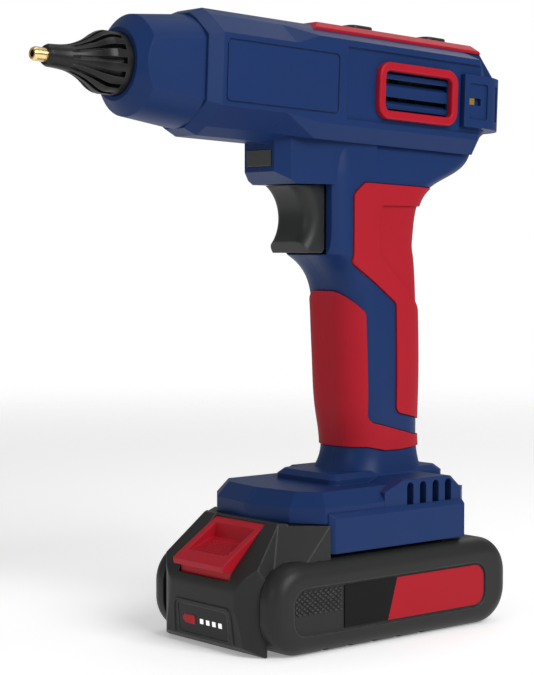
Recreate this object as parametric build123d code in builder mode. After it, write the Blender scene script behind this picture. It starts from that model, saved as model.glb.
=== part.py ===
# Cordless glue gun with a slide-on battery pack
# Millimetres. The nozzle points to +X, the tool's left side is +Y, and it stands on z = 0.
import math
import os

from build123d import *

os.makedirs("parts", exist_ok=True)

# Fits
slide_gap = 0.3  # between pieces that move past each other
seat_gap = 0.1  # between pieces that are put together
pin_gap = 0.05  # round a pin in its hole
seam_gap = 0.25  # the visible seam round an inlaid piece
overlap = 1.0  # how far a cut or a root reaches past the face that it meets

# Barrel: its axis rises towards the nozzle
barrel_pitch = 2.4  # degrees
axis_height = 205.6  # height of the axis above the rest face, at x = 0
shell_wall = 2.4
flank_half = 20.5
flank_top = 13.0
flank_low = 12.5
cheek_half = 11.6
cheek_up = 20.2
crown_half = 7.0
barrel_up = 22.7
belly_half = 11.4
belly_low = 19.5
keel_half = 6.0
barrel_low = 22.5
front_ring = 67.8  # where the front chamfer of the barrel starts, along the axis
seam_along = 73.0  # where the nose collar meets the barrel
seam_inset = 2.2
rear_ring = 61.0  # where the rear chamfer starts, behind the origin
rear_end = 79.0
rear_inset = 10.4
ceiling_up = 19.1  # inner top of the barrel

# Shoulders along the rear half of the flanks
shoulder_up = 16.7
shoulder_front = 23.0
shoulder_tip = 34.0
ledge_low = 14.8
ledge_half = 17.5
ledge_base = 20.5
ledge_front = 22.0
ledge_tip = 38.0
flank_sink = 1.0  # depth of the flank between the shoulders
sink_front = 9.0
sink_top = 14.4

# Bare panel frame on the flank
panel_front = 66.3
panel_rear = 13.0
panel_half = 11.2
panel_groove = 0.7
panel_depth = 0.5
panel_corner = 2.0

# Neck under the barrel
light_face = 34.5  # x of the face that holds the work light
light_half = 8.5
light_low = 174.0
light_chin = 27.0  # x where the chamfer under the light ends
neck_cut = 29.5  # x where the light block has widened
neck_under = 169.6  # height of the neck's underside above the trigger
neck_roof = 190.0
neck_half = 16.5
neck_side_half = 12.5
neck_rear = -10.0
neck_taper = 1.5
notch_rear = 11.0  # x of the housing edge behind the trigger
notch_floor = 143.4
notch_reach = 40.0

# Handle stations, from the foot to the ledge under the trigger: height, rear, front, half width
handle_stations = (
    (57.0, -42.0, 3.0, 18.0),
    (63.0, -40.0, -1.4, 16.0),
    (69.0, -39.3, -2.8, 15.4),
    (86.0, -38.7, -0.9, 16.0),
    (107.0, -38.5, 0.1, 16.5),
    (122.0, -38.1, 0.9, 16.5),
    (131.0, -37.7, 2.2, 16.5),
    (138.0, -37.2, 6.2, 16.5),
    (notch_floor, -36.5, 13.6, 16.5),
)
# Stations of the neck, from that ledge into the barrel
neck_stations = (
    (notch_floor, -36.5, 13.6, 16.5),
    (152.0, -36.5, 16.0, 16.5),
    (160.0, -37.9, 16.0, 16.5),
    (167.0, -42.2, 16.0, 16.5),
    (173.0, -53.0, 16.0, 16.5),
    (180.0, -66.0, 16.0, 16.0),
    (186.0, -69.6, 16.0, 15.0),
    (190.0, -70.5, 16.0, 13.5),
)
handle_round = 12.5
grip_depth = 1.2
grip_proud = 0.7
grip_panel_step = 1.0  # depth of the panel in the rear grip
grip_reach = 30.0  # the grips' outlines end within this distance of x = 0
front_grip_round = 4.0
rear_grip_round = 3.0

# Foot
foot_floor = 45.8  # height of the foot's underside over the rails
foot_wall_top = 51.6
foot_top = 57.0
foot_inset = 4.5
foot_front = 40.5
foot_nose_half = 1.5
foot_cheek = 37.8  # x of the corners beside the nose
foot_front_half = 21.0
foot_corner = 29.5
foot_corner_half = 31.7
foot_half = 32.2
foot_waist = -9.5  # x where the foot is at its full width
foot_side_rear = -39.8
foot_rear = -49.0
foot_rear_half = 24.0
foot_rear_top = 53.0
guard_half = 34.2
guard_front = 28.6
guard_low = 35.0
guard_top = 49.5
guard_corner = 1.8
guard_bevel = 1.7
vent_block_top = 59.0
vent_block_front = 0.5
vent_block_rear = -32.5
vent_block_step = 2.0
foot_vent_count = 4
foot_vent_first = -12.7
foot_vent_step = 6.7
foot_vent_z = 53.0
foot_vent_length = 9.6
foot_vent_width = 3.4
foot_vent_depth = 5.0
step_front = 13.0
step_rear = -46.0
step_half = 17.5
step_wall_top = 59.0
step_top = 61.0
step_round = 4.0
step_inset = 2.0
foot_room_top = 54.6
foot_room_half = 24.0
foot_room_front = 28.0
foot_room_rear = -36.0
lead_hole_x = -20.0  # the hole from the foot up into the handle
lead_hole_length = 28.0
lead_hole_width = 22.0

# Trigger and feed
trigger_half = 10.5
trigger_travel = 9.0
trigger_top = 169.2
trigger_low = 144.0
trigger_cheek = 11.6  # x of the cheeks' rear edge
trigger_brow = 26.0
trigger_waist = 19.0
trigger_toe = 22.2
tongue_half = 7.7
tongue_rear = -5.0
tongue_top = 166.0
tongue_low = 145.5
pin_radius = 1.5
rocker_x = -2.0
rocker_z = 183.0
rocker_arm = 23.0  # from the rocker's pin down to the trigger's pin
rocker_plate = 2.0
rocker_half = 10.2
rocker_width = 7.0
rocker_hub = 4.5
slot_play = 0.35
stick_bore = 6.0  # radius of the glue stick's way
carriage_half = 7.5
carriage_front = 12.0  # from the carriage's pin forwards
carriage_rear = 12.0
carriage_up = 8.0
carriage_low = 8.3
carriage_pins = 10.6
ear_half = 6.5
ear_thick = 2.5
gripper_half = 3.4
gripper_rear = 8.0  # from the carriage's pin back to the gripper's hinge
gripper_up = 10.5
gripper_reach = 4.0
gripper_tip_up = 9.5
gripper_bar = 4.4
gripper_slot_rear = 11.0  # from the carriage's pin, both ends of the gripper's slot
gripper_slot_front = 7.0
tooth_up = 6.3
tooth_rear = 2.5
tooth_front = 2.0
tooth_edge = 0.8
gripper_pin_radius = 1.0
gripper_pin_half = 8.0
torsion_radius = 1.9
rocker_pin_half = 13.0
rocker_room_front = 10.5
rocker_room_rear = -22.0
trigger_pin_half = 10.3
trigger_edge = 5.0
trigger_corner = 2.0
toe_high = 4.2
toe_back = 3.2
trigger_waist_z = 157.0
spring_z = 152.0
spring_rear = -26.0
spring_front = 8.0
spring_radius = 3.6
spring_wire = 0.8
spring_bore = 4.3
spring_rib = 2.0
spring_rib_high = 12.0

# Red cover and buttons on top
cover_front = 18.6
cover_brow = 14.2
cover_rear = -68.3
cover_heel = -71.2
cover_half = 10.8
cover_crown_half = 7.8
cover_up = 24.0
cover_edge = 21.7
cover_low = 20.6
button_size = 12.0
button_round = 3.0
button_proud = 1.6
button_edge = 0.5
button_travel = 0.8
button_foot = 21.7  # underside of the button's wide part
stem_size = 5.0
front_button_along = -11.5
rear_button_along = -51.3
lens_radius = 1.3
lens_proud = 1.2
lens_places = (-22.0, -30.0)
board_top = 17.8
board_thick = 1.6
board_half = 9.0
board_front = 4.0
board_rear = -57.5
switch_size = 6.0
switch_high = 0.6
post_inset = 3.0
post_half = 6.0
post_radius = 1.8

# Louvred vents
vent_along = -27.2
vent_length = 41.8
vent_height = 21.5
vent_round = 5.5
vent_band = 3.3
vent_inner_round = 2.2
vent_edge = 0.8
vent_face = 22.0  # distance of the frame's outer face from the middle of the tool
louvres = ((-5.6, 2.0), (0.0, 4.2), (5.6, 2.0))  # height of each on the flank, and its thickness
louvre_inset = 0.6
louvre_depth = 2.7
louvre_rise = 1.5

# Chamber, nozzle and collar, measured along the barrel's axis
spigot_rear = 66.0
spigot_radius = 14.9
collar_bore = 13.0
collar_radius = 20.3
collar_flat = 17.3
collar_edge = 94.5
collar_edge_radius = 17.9
collar_edge_flat = 15.3
collar_front = 99.3
collar_front_radius = 12.8
collar_mouth = 3.3  # depth of the boot's seat
collar_cone = 2.0
boot_radius = 11.0
boot_base = 98.6
boot_ring = 102.0
boot_shoulder = 106.0
boot_front = 128.5
boot_front_radius = 3.9
boot_lip = 1.0
boot_lip_round = 0.5
boot_flare = (111.0, 8.5)  # points of the trumpet: along the axis, radius
boot_waist = (118.4, 5.0)
boot_slots = 14
boot_slot_width = 2.2
boot_slot_tip = 0.9
boot_slot_floor = ((boot_ring, 8.6), (111.0, 6.7), (117.0, 4.7), (124.0, 4.4))
tip_radius = 2.45
tip_end = 133.7
tip_bore = 1.3
tip_bevel = 0.5
nozzle_rear = 97.5
nozzle_cone = 5.0
nozzle_stub = 4.0
nozzle_flange = 5.8
flange_rear = 103.0
flange_front = 108.0
chamber_radius = 9.5
chamber_rear = 48.0
chamber_front = 97.0
chamber_boss = 6.0
chamber_taper = 11.0
heater_length = 30.0
heater_width = 10.0
heater_thick = 2.4
heater_seat = 8.2
heater_along = 70.0
holder_thick = 5.0
rear_holder_along = 48.0
front_holder_along = 86.0
sleeve_rear = 38.0
sleeve_radius = 8.5
sleeve_lead = 1.4
sleeve_mouth = 2.0

# Guide channel
channel_half = 11.0
channel_up = 9.0
channel_rear = -64.0
channel_front = -26.0
tube_radius = 8.6
floor_half = 7.0
floor_thick = 2.4
floor_root = 2.0
channel_round = 1.5
window_places = (-33.2, -47.2)

# Work light
lens_half = 6.9
lens_low = 176.0
lens_high = 182.0
light_wall = 2.2
light_room_half = 7.6
light_room_low = 173.0
light_room_rear = 14.0
light_proud = 0.3
light_board_high = 12.0

# Rear cap
cap_front = -51.6
cap_rear = -81.0
cap_half = 22.0
cap_up = 10.2
cap_round = 18.0

# Screws of the housing: up and along on the barrel, then x and height on the handle
barrel_screws = ((16.5, 60.0), (-15.5, 60.0), (13.8, -63.0), (-14.0, -60.0))
handle_screws = ((-12.5, 118.0), (-12.5, 90.0), (-28.0, 176.0))
boss_radius = 4.4
screw_shank = 1.3
screw_head = 2.8
screw_head_high = 2.2
screw_reach = 8.0
screw_seat = 8.0
socket_radius = 1.4
socket_depth = 1.3

# Small pieces of the barrel
thermostat_along = 58.0
thermostat_radius = 3.5
thermostat_high = 4.0
thermostat_sink = 0.5
window_size = 4.5
cap_recess_along = -59.4
cap_recess_length = 10.4
cap_recess_height = 14.2
cap_recess_depth = 0.9
cap_recess_round = 1.2
cap_window_along = -58.3
cap_window_length = 6.4
cap_window_height = 2.8
cap_slot_width = 2.6
cap_slot_high = 14.0
cap_slot_depth = 1.6
cap_slot_turn = 28.0  # degrees from the cap's side towards its rear
catch_proud = 1.2

# Battery pack
pack_half = 37.0
pack_front = 58.0
pack_rear = -62.4
pack_top = 33.6
pack_corner = 14.0
pack_edge = 6.0
pack_wall = 2.5
rib_depth = 2.5
rib_half = 22.0
rib_low = 9.0
rib_high = 26.0
rib_round = 4.0
mouth_rear = -46.0  # rear end of the tray's top opening
apron_half = 28.6
apron_rear = 54.5
apron_flat = 21.0
apron_side = 56.5
apron_round = 10.0
apron_corner = 6.0
front_face = 62.0
front_foot = 55.5
gauge_low_x = 60.8
gauge_low_z = 3.0
gauge_high_z = 16.0
slope_low = 27.0
slope_rear = 43.5
slope_round = 12.0
head_front = 40.8  # x where the head rises in front of the foot
head_top = 46.2
head_lap = 1.2
head_back = 20.2
rail_top = 45.4
rail_half = 30.0
rail_neck_half = 26.5
rail_low = 39.2
rail_rear = -35.5
shoulder_x = 28.9
shoulder_half = 33.6
shoulder_top_half = 21.5
shoulder_lap = 0.6
shoulder_end = 52.0
shoulder_rise = 5.2
head_room_half = 24.0
head_room_front = 37.0
hook_thick = 2.4
hook_reach = 4.0
hook_root = 2.0
hook_half = 19.0
groove_count = 5
groove_step = 12.2
groove_first = 32.0
groove_width = 3.2
groove_depth = 1.3

# Label fields on the pack's sides
field_length = 98.0
field_height = 17.4
field_round = 6.0
field_z = 16.0
field_depth = 0.9
label_front = 24.4
label_thick = 0.5
label_margin = 1.0

# Release button
release_half = 14.6
release_travel = 3.0
release_wall = 3.1
release_crest = 45.2
release_heel = 38.0
leg_rear = 57.0
leg_front = 60.0
leg_top = 26.0
leg_low = 21.5
lip_low = 29.6
lip_nose = (63.8, 31.8)
lip_front = 63.4
lip_top = (61.5, 33.4)
pocket_front = 59.5
pocket_low = 33.6
pocket_rear = 47.0
pocket_high = 38.2
pocket_brow = 45.8
well_drop = release_travel + slide_gap + seat_gap
well_low = leg_low - well_drop  # bottom of the button's well
release_spring_x = 58.5
release_spring_radius = 1.2
release_spring_low = 14.0

# Charge gauge
gauge_width = 28.8
gauge_height = 10.6
gauge_depth = 1.0
gauge_inlay = 0.2
gauge_light_size = 1.8
gauge_light_first = -0.7
gauge_light_step = 3.6
gauge_light_count = 4
gauge_round = 1.0
symbol_place = -7.6
symbol_length = 6.4
symbol_height = 3.4
symbol_round = 0.5
symbol_tip_place = -11.2
symbol_tip_length = 1.2
symbol_tip_height = 1.8

# Inside of the pack
cell_radius = 9.2
cell_half = 32.5
cell_count = 5
cell_pitch = 19.2
cell_x = -1.5
cell_z = 13.2
holder_half = 27.0
pack_holder_thick = 3.0
pack_holder_top = 24.9
pack_holder_length = 100.0
pack_holder_round = 8.0
pack_board_x = -2.5
pack_board_length = 85.0
pack_screw_x = 50.4
pack_screw_y = 19.0
pack_boss = 3.4
pack_boss_split = 10.0
pack_boss_top = 29.6

# Battery terminals
blade_places = (-12.0, -4.0, 4.0, 12.0)
blade_thick = 0.8
blade_low = 37.5
blade_high = 42.4
blade_front = -18.0
blade_play = 0.5
terminal_front = -36.5
terminal_half = 14.0
terminal_low = 36.0
channel_end = -45.0  # x of the rear wall behind the terminal block
leaf_thick = 0.6
leaf_length = 10.0
leaf_place = -24.0


def mirrored(points):
    """A half outline and its mirror image across the first axis, as one closed outline."""
    return [*points, *[(-across, up) for across, up in reversed(points)]]


def link(start, end, width):
    """A flat bar with round ends between two points of the sketch that is being drawn."""
    run = Vector(*end) - Vector(*start)
    middle = (Vector(*start) + Vector(*end)) * 0.5
    with Locations((middle.X, middle.Y)):
        SlotCenterToCenter(run.length, width, rotation=math.degrees(math.atan2(run.Y, run.X)))


# Planes of the barrel: across it, along its side, and seen from above
pitch_cos = math.cos(math.radians(barrel_pitch))
pitch_sin = math.sin(math.radians(barrel_pitch))
barrel_start = (0, 0, axis_height)
barrel_axis = (pitch_cos, 0, pitch_sin)
barrel = Plane(barrel_start, x_dir=(0, 1, 0), z_dir=barrel_axis)
barrel_side = Plane(barrel_start, x_dir=barrel_axis, z_dir=(0, -1, 0))
barrel_deck = Plane(barrel_start, x_dir=barrel_axis, z_dir=(-pitch_sin, 0, pitch_cos))


def on_barrel(across, up, along):
    """A point of the barrel in the tool's frame."""
    return barrel.from_local_coords((across, up, along))


# Outer form of the barrel
tail_half = flank_half - rear_inset  # half width of its rear end
barrel_outline = mirrored(
    [
        (crown_half, barrel_up),
        (cheek_half, cheek_up),
        (flank_half, flank_top),
        (flank_half, -flank_low),
        (belly_half, -belly_low),
        (keel_half, -barrel_low),
    ]
)
with BuildPart() as barrel_form:
    with BuildSketch(barrel.offset(-rear_ring)):
        Polygon(*barrel_outline, align=None)
    extrude(amount=rear_ring + front_ring)
    with BuildSketch(barrel.offset(front_ring)):
        Polygon(*barrel_outline, align=None)
    with BuildSketch(barrel.offset(seam_along)):
        Polygon(*barrel_outline, align=None)
        offset(amount=-seam_inset, kind=Kind.INTERSECTION)
    loft(ruled=True)
    with BuildSketch(barrel.offset(-rear_ring)):
        Polygon(*barrel_outline, align=None)
    with BuildSketch(barrel.offset(-rear_end)):
        Polygon(*barrel_outline, align=None)
        offset(amount=-rear_inset, kind=Kind.INTERSECTION)
    loft(ruled=True)
    for side in (1, -1):
        shoulder = [(cheek_half, cheek_up), (flank_half, shoulder_up), (flank_half, flank_top)]
        corners = [on_barrel(side * across, up, -rear_ring) for across, up in shoulder]
        corners += [on_barrel(side * across, up, shoulder_front) for across, up in shoulder]
        corners += [on_barrel(side * across, up, shoulder_tip) for across, up in shoulder[::2]]
        corners.append(on_barrel(side * tail_half, flank_top - rear_inset, -rear_end))
        ConvexPolyhedron(corners)
        ledge = [
            (flank_half, -flank_low),
            (flank_half, -ledge_low),
            (ledge_half, -ledge_base),
            (belly_half, -belly_low),
        ]
        corners = [on_barrel(side * across, up, -rear_ring) for across, up in ledge]
        corners += [on_barrel(side * across, up, ledge_front) for across, up in ledge]
        corners += [on_barrel(side * across, up, ledge_tip) for across, up in ledge[::3]]
        corners.append(on_barrel(side * tail_half, rear_inset - flank_low, -rear_end))
        ConvexPolyhedron(corners)
    with BuildSketch(barrel_side):
        Polygon(
            (-rear_ring, 0),
            (-rear_ring, cover_low),
            (cover_heel, cover_low),
            (-rear_end, barrel_up - rear_inset),
            (-rear_end, 0),
            align=None,
        )
    extrude(amount=tail_half, both=True)
    for side in (1, -1):
        with BuildSketch(barrel_side.offset(-side * flank_half)):
            with Locations(((sink_front - rear_end) / 2, (sink_top - flank_low) / 2)):
                Rectangle(sink_front + rear_end, sink_top + flank_low)
        extrude(amount=side * flank_sink, mode=Mode.SUBTRACT)


def handle_form(growth):
    """The handle and the neck above it, with their faces moved outwards by the growth."""
    with BuildPart() as form:
        for stations in (handle_stations, neck_stations):
            for height, rear, front, half_width in stations:
                with BuildSketch(Plane.XY.offset(height)):
                    with Locations(((rear + front) / 2, 0)):
                        RectangleRounded(
                            front - rear + 2 * growth,
                            2 * (half_width + growth),
                            handle_round + growth,
                        )
            loft()
    return form.part


# Outer form of the block that holds the work light
with BuildPart() as light_block:
    with BuildSketch(Plane.XZ):
        Polygon(
            (neck_rear, neck_roof),
            (light_face, neck_roof),
            (light_face, light_low),
            (light_chin, neck_under),
            (neck_rear, neck_under),
            align=None,
        )
    extrude(amount=neck_half, both=True)
    with BuildSketch(Plane.XY.offset(neck_under)):
        Polygon(
            *[(along, across) for across, along in mirrored(
                [
                    (light_half, light_face),
                    (neck_side_half, neck_cut),
                    (neck_half - neck_taper, notch_rear),
                    (neck_half, neck_rear),
                ]
            )],
            align=None,
        )
    extrude(amount=neck_roof - neck_under, mode=Mode.INTERSECT)


# Outer form of the foot
foot_plan = [(along, across) for across, along in mirrored(
    [
        (foot_nose_half, foot_front),
        (foot_front_half, foot_cheek),
        (foot_corner_half, foot_corner),
        (foot_half, foot_waist),
        (foot_half, foot_side_rear),
        (foot_rear_half, foot_rear),
    ]
)]
with BuildPart() as foot_form:
    with BuildSketch(Plane.XY.offset(foot_floor)):
        Polygon(*foot_plan, align=None)
    extrude(amount=foot_wall_top - foot_floor)
    with BuildSketch(Plane.XY.offset(foot_wall_top)):
        Polygon(*foot_plan, align=None)
    with BuildSketch(Plane.XY.offset(foot_top)):
        Polygon(*foot_plan, align=None)
        offset(amount=-foot_inset, kind=Kind.INTERSECTION)
    loft(ruled=True)
    with BuildSketch(Plane.XZ):
        Polygon(
            (vent_block_front, foot_floor),
            (vent_block_front, foot_top - vent_block_step),
            (foot_waist, vent_block_top),
            (vent_block_rear, vent_block_top),
            (foot_side_rear, foot_wall_top + vent_block_step),
            (foot_side_rear, foot_floor),
            align=None,
        )
    extrude(amount=foot_half, both=True)
    with BuildSketch(Plane.XY.offset(guard_low)) as guard_plan:
        with Locations(((guard_front + foot_side_rear) / 2, 0)):
            Rectangle(guard_front - foot_side_rear, 2 * guard_half)
        chamfer(guard_plan.vertices().group_by(Axis.X)[-1], guard_corner)
    extrude(amount=guard_top - guard_low)
    chamfer(edges().filter_by(Axis.X).group_by(Axis.Y)[-1].group_by(Axis.Z)[-1], guard_bevel)
    chamfer(edges().filter_by(Axis.X).group_by(Axis.Y)[0].group_by(Axis.Z)[-1], guard_bevel)
    with BuildSketch(Plane.XY.offset(guard_low)):
        Polygon(
            (foot_side_rear, foot_half),
            (foot_rear, foot_rear_half),
            (foot_rear, -foot_rear_half),
            (foot_side_rear, -foot_half),
            align=None,
        )
    extrude(amount=foot_rear_top - guard_low)
    with BuildSketch(Plane.XY.offset(foot_wall_top)):
        with Locations(((step_front + step_rear) / 2, 0)):
            RectangleRounded(step_front - step_rear, 2 * step_half, step_round)
    extrude(amount=step_wall_top - foot_wall_top)
    for height, inset in ((step_wall_top, 0), (step_top, 2 * step_inset)):
        with BuildSketch(Plane.XY.offset(height)):
            with Locations(((step_front + step_rear) / 2, 0)):
                RectangleRounded(step_front - step_rear - inset, 2 * step_half - inset, step_round)
    loft(ruled=True)

with BuildPart() as shell_form:
    add(handle_form(0))
    with BuildSketch(Plane.XY.offset(notch_floor)):
        with Locations((notch_rear + notch_reach / 2, 0)):
            Rectangle(notch_reach, 4 * neck_half)
    extrude(amount=neck_under - notch_floor, mode=Mode.SUBTRACT)
    add(light_block.part)
    add(barrel_form.part)
    add(foot_form.part)


# The red cover on top
with BuildPart() as cover_form:
    with BuildSketch(barrel.offset(cover_heel)):
        Polygon(
            *mirrored([(cover_crown_half, cover_up), (cover_half, cover_edge), (cover_half, cover_low)]),
            align=None,
        )
    extrude(amount=cover_front - cover_heel)
    with BuildSketch(barrel_side):
        Polygon(
            (cover_heel, cover_low),
            (cover_front, cover_low),
            (cover_brow, cover_up),
            (cover_rear, cover_up),
            align=None,
        )
    extrude(amount=cover_half, both=True, mode=Mode.INTERSECT)
with BuildPart() as top_cover:
    add(cover_form.part)
    with BuildSketch(barrel_deck.offset(cover_low)):
        with Locations((front_button_along, 0), (rear_button_along, 0)):
            RectangleRounded(
                button_size + 2 * slide_gap,
                button_size + 2 * slide_gap,
                button_round + slide_gap,
            )
        with Locations(*[(along, 0) for along in lens_places]):
            Circle(lens_radius + pin_gap)
    extrude(amount=cover_up - cover_low, mode=Mode.SUBTRACT)
top_cover.part.label = "top_cover"
export_step(top_cover.part, "parts/top_cover.step")

# Where the rubber grips lie, seen from the side
front_grip_zone = (
    (14.0, 141.6),
    (-5.3, 121.3),
    (-7.2, 79.7),
    (-31.2, 73.5),
    (-60.0, 72.0),
    (-60.0, 69.4),
    (-31.3, 69.0),
    (-22.9, 68.4),
    (-15.3, 68.4),
    (-7.8, 70.0),
    (20.0, 69.6),
)
rear_grip_zone = (
    (2.2, 166.0),
    (-3.4, 170.5),
    (-60.0, 168.2),
    (-60.0, 74.0),
    (-36.8, 79.2),
    (-20.6, 82.8),
    (-19.8, 124.8),
    (2.2, 140.6),
)
# The lowered panel in the rear grip, seen from the side
grip_panel_zone = (
    (-60.0, 162.0),
    (-12.4, 162.0),
    (-10.4, 159.2),
    (-10.8, 143.2),
    (-45.0, 112.4),
    (-60.0, 112.4),
)
grip_zones = {
    "front_grip": (front_grip_zone, front_grip_round),
    "rear_grip": (rear_grip_zone, rear_grip_round),
}
grip_skin = handle_form(grip_proud)
grip_core = handle_form(-grip_depth)
with BuildPart() as grip_panel:
    with BuildSketch(Plane.XZ):
        Polygon(*grip_panel_zone, align=None)
    extrude(amount=2 * neck_half, both=True)
    add(handle_form(grip_proud - grip_panel_step), mode=Mode.SUBTRACT)
grip_parts = {}
grip_beds = []
for grip_name, (zone, zone_round) in grip_zones.items():
    with BuildSketch() as grip_plan:
        Polygon(*zone, align=None)
        inner_corners = [corner for corner in grip_plan.vertices() if abs(corner.X) < grip_reach]
        fillet(inner_corners, zone_round)
    with BuildPart() as grip:
        with BuildSketch(Plane.XZ):
            add(grip_plan.sketch)
        extrude(amount=2 * neck_half, both=True)
        add(grip_skin, mode=Mode.INTERSECT)
        add(grip_core, mode=Mode.SUBTRACT)
        add(grip_panel.part, mode=Mode.SUBTRACT)
    grip_parts[grip_name] = grip.part
    with BuildPart() as bed:
        with BuildSketch(Plane.XZ):
            add(grip_plan.sketch)
            offset(amount=seam_gap, kind=Kind.INTERSECTION)
        extrude(amount=2 * neck_half, both=True)
        add(grip_core, mode=Mode.SUBTRACT)
    grip_beds.append(bed.part)

with BuildPart() as front_grip_left:
    add(grip_parts["front_grip"])
    split(bisect_by=Plane.XZ, keep=Keep.BOTTOM)
front_grip_left.part.label = "front_grip_left"
export_step(front_grip_left.part, "parts/front_grip_left.step")
with BuildPart() as front_grip_right:
    add(grip_parts["front_grip"])
    split(bisect_by=Plane.XZ, keep=Keep.TOP)
front_grip_right.part.label = "front_grip_right"
export_step(front_grip_right.part, "parts/front_grip_right.step")
with BuildPart() as rear_grip_left:
    add(grip_parts["rear_grip"])
    split(bisect_by=Plane.XZ, keep=Keep.BOTTOM)
rear_grip_left.part.label = "rear_grip_left"
export_step(rear_grip_left.part, "parts/rear_grip_left.step")
with BuildPart() as rear_grip_right:
    add(grip_parts["rear_grip"])
    split(bisect_by=Plane.XZ, keep=Keep.TOP)
rear_grip_right.part.label = "rear_grip_right"
export_step(rear_grip_right.part, "parts/rear_grip_right.step")

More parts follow.
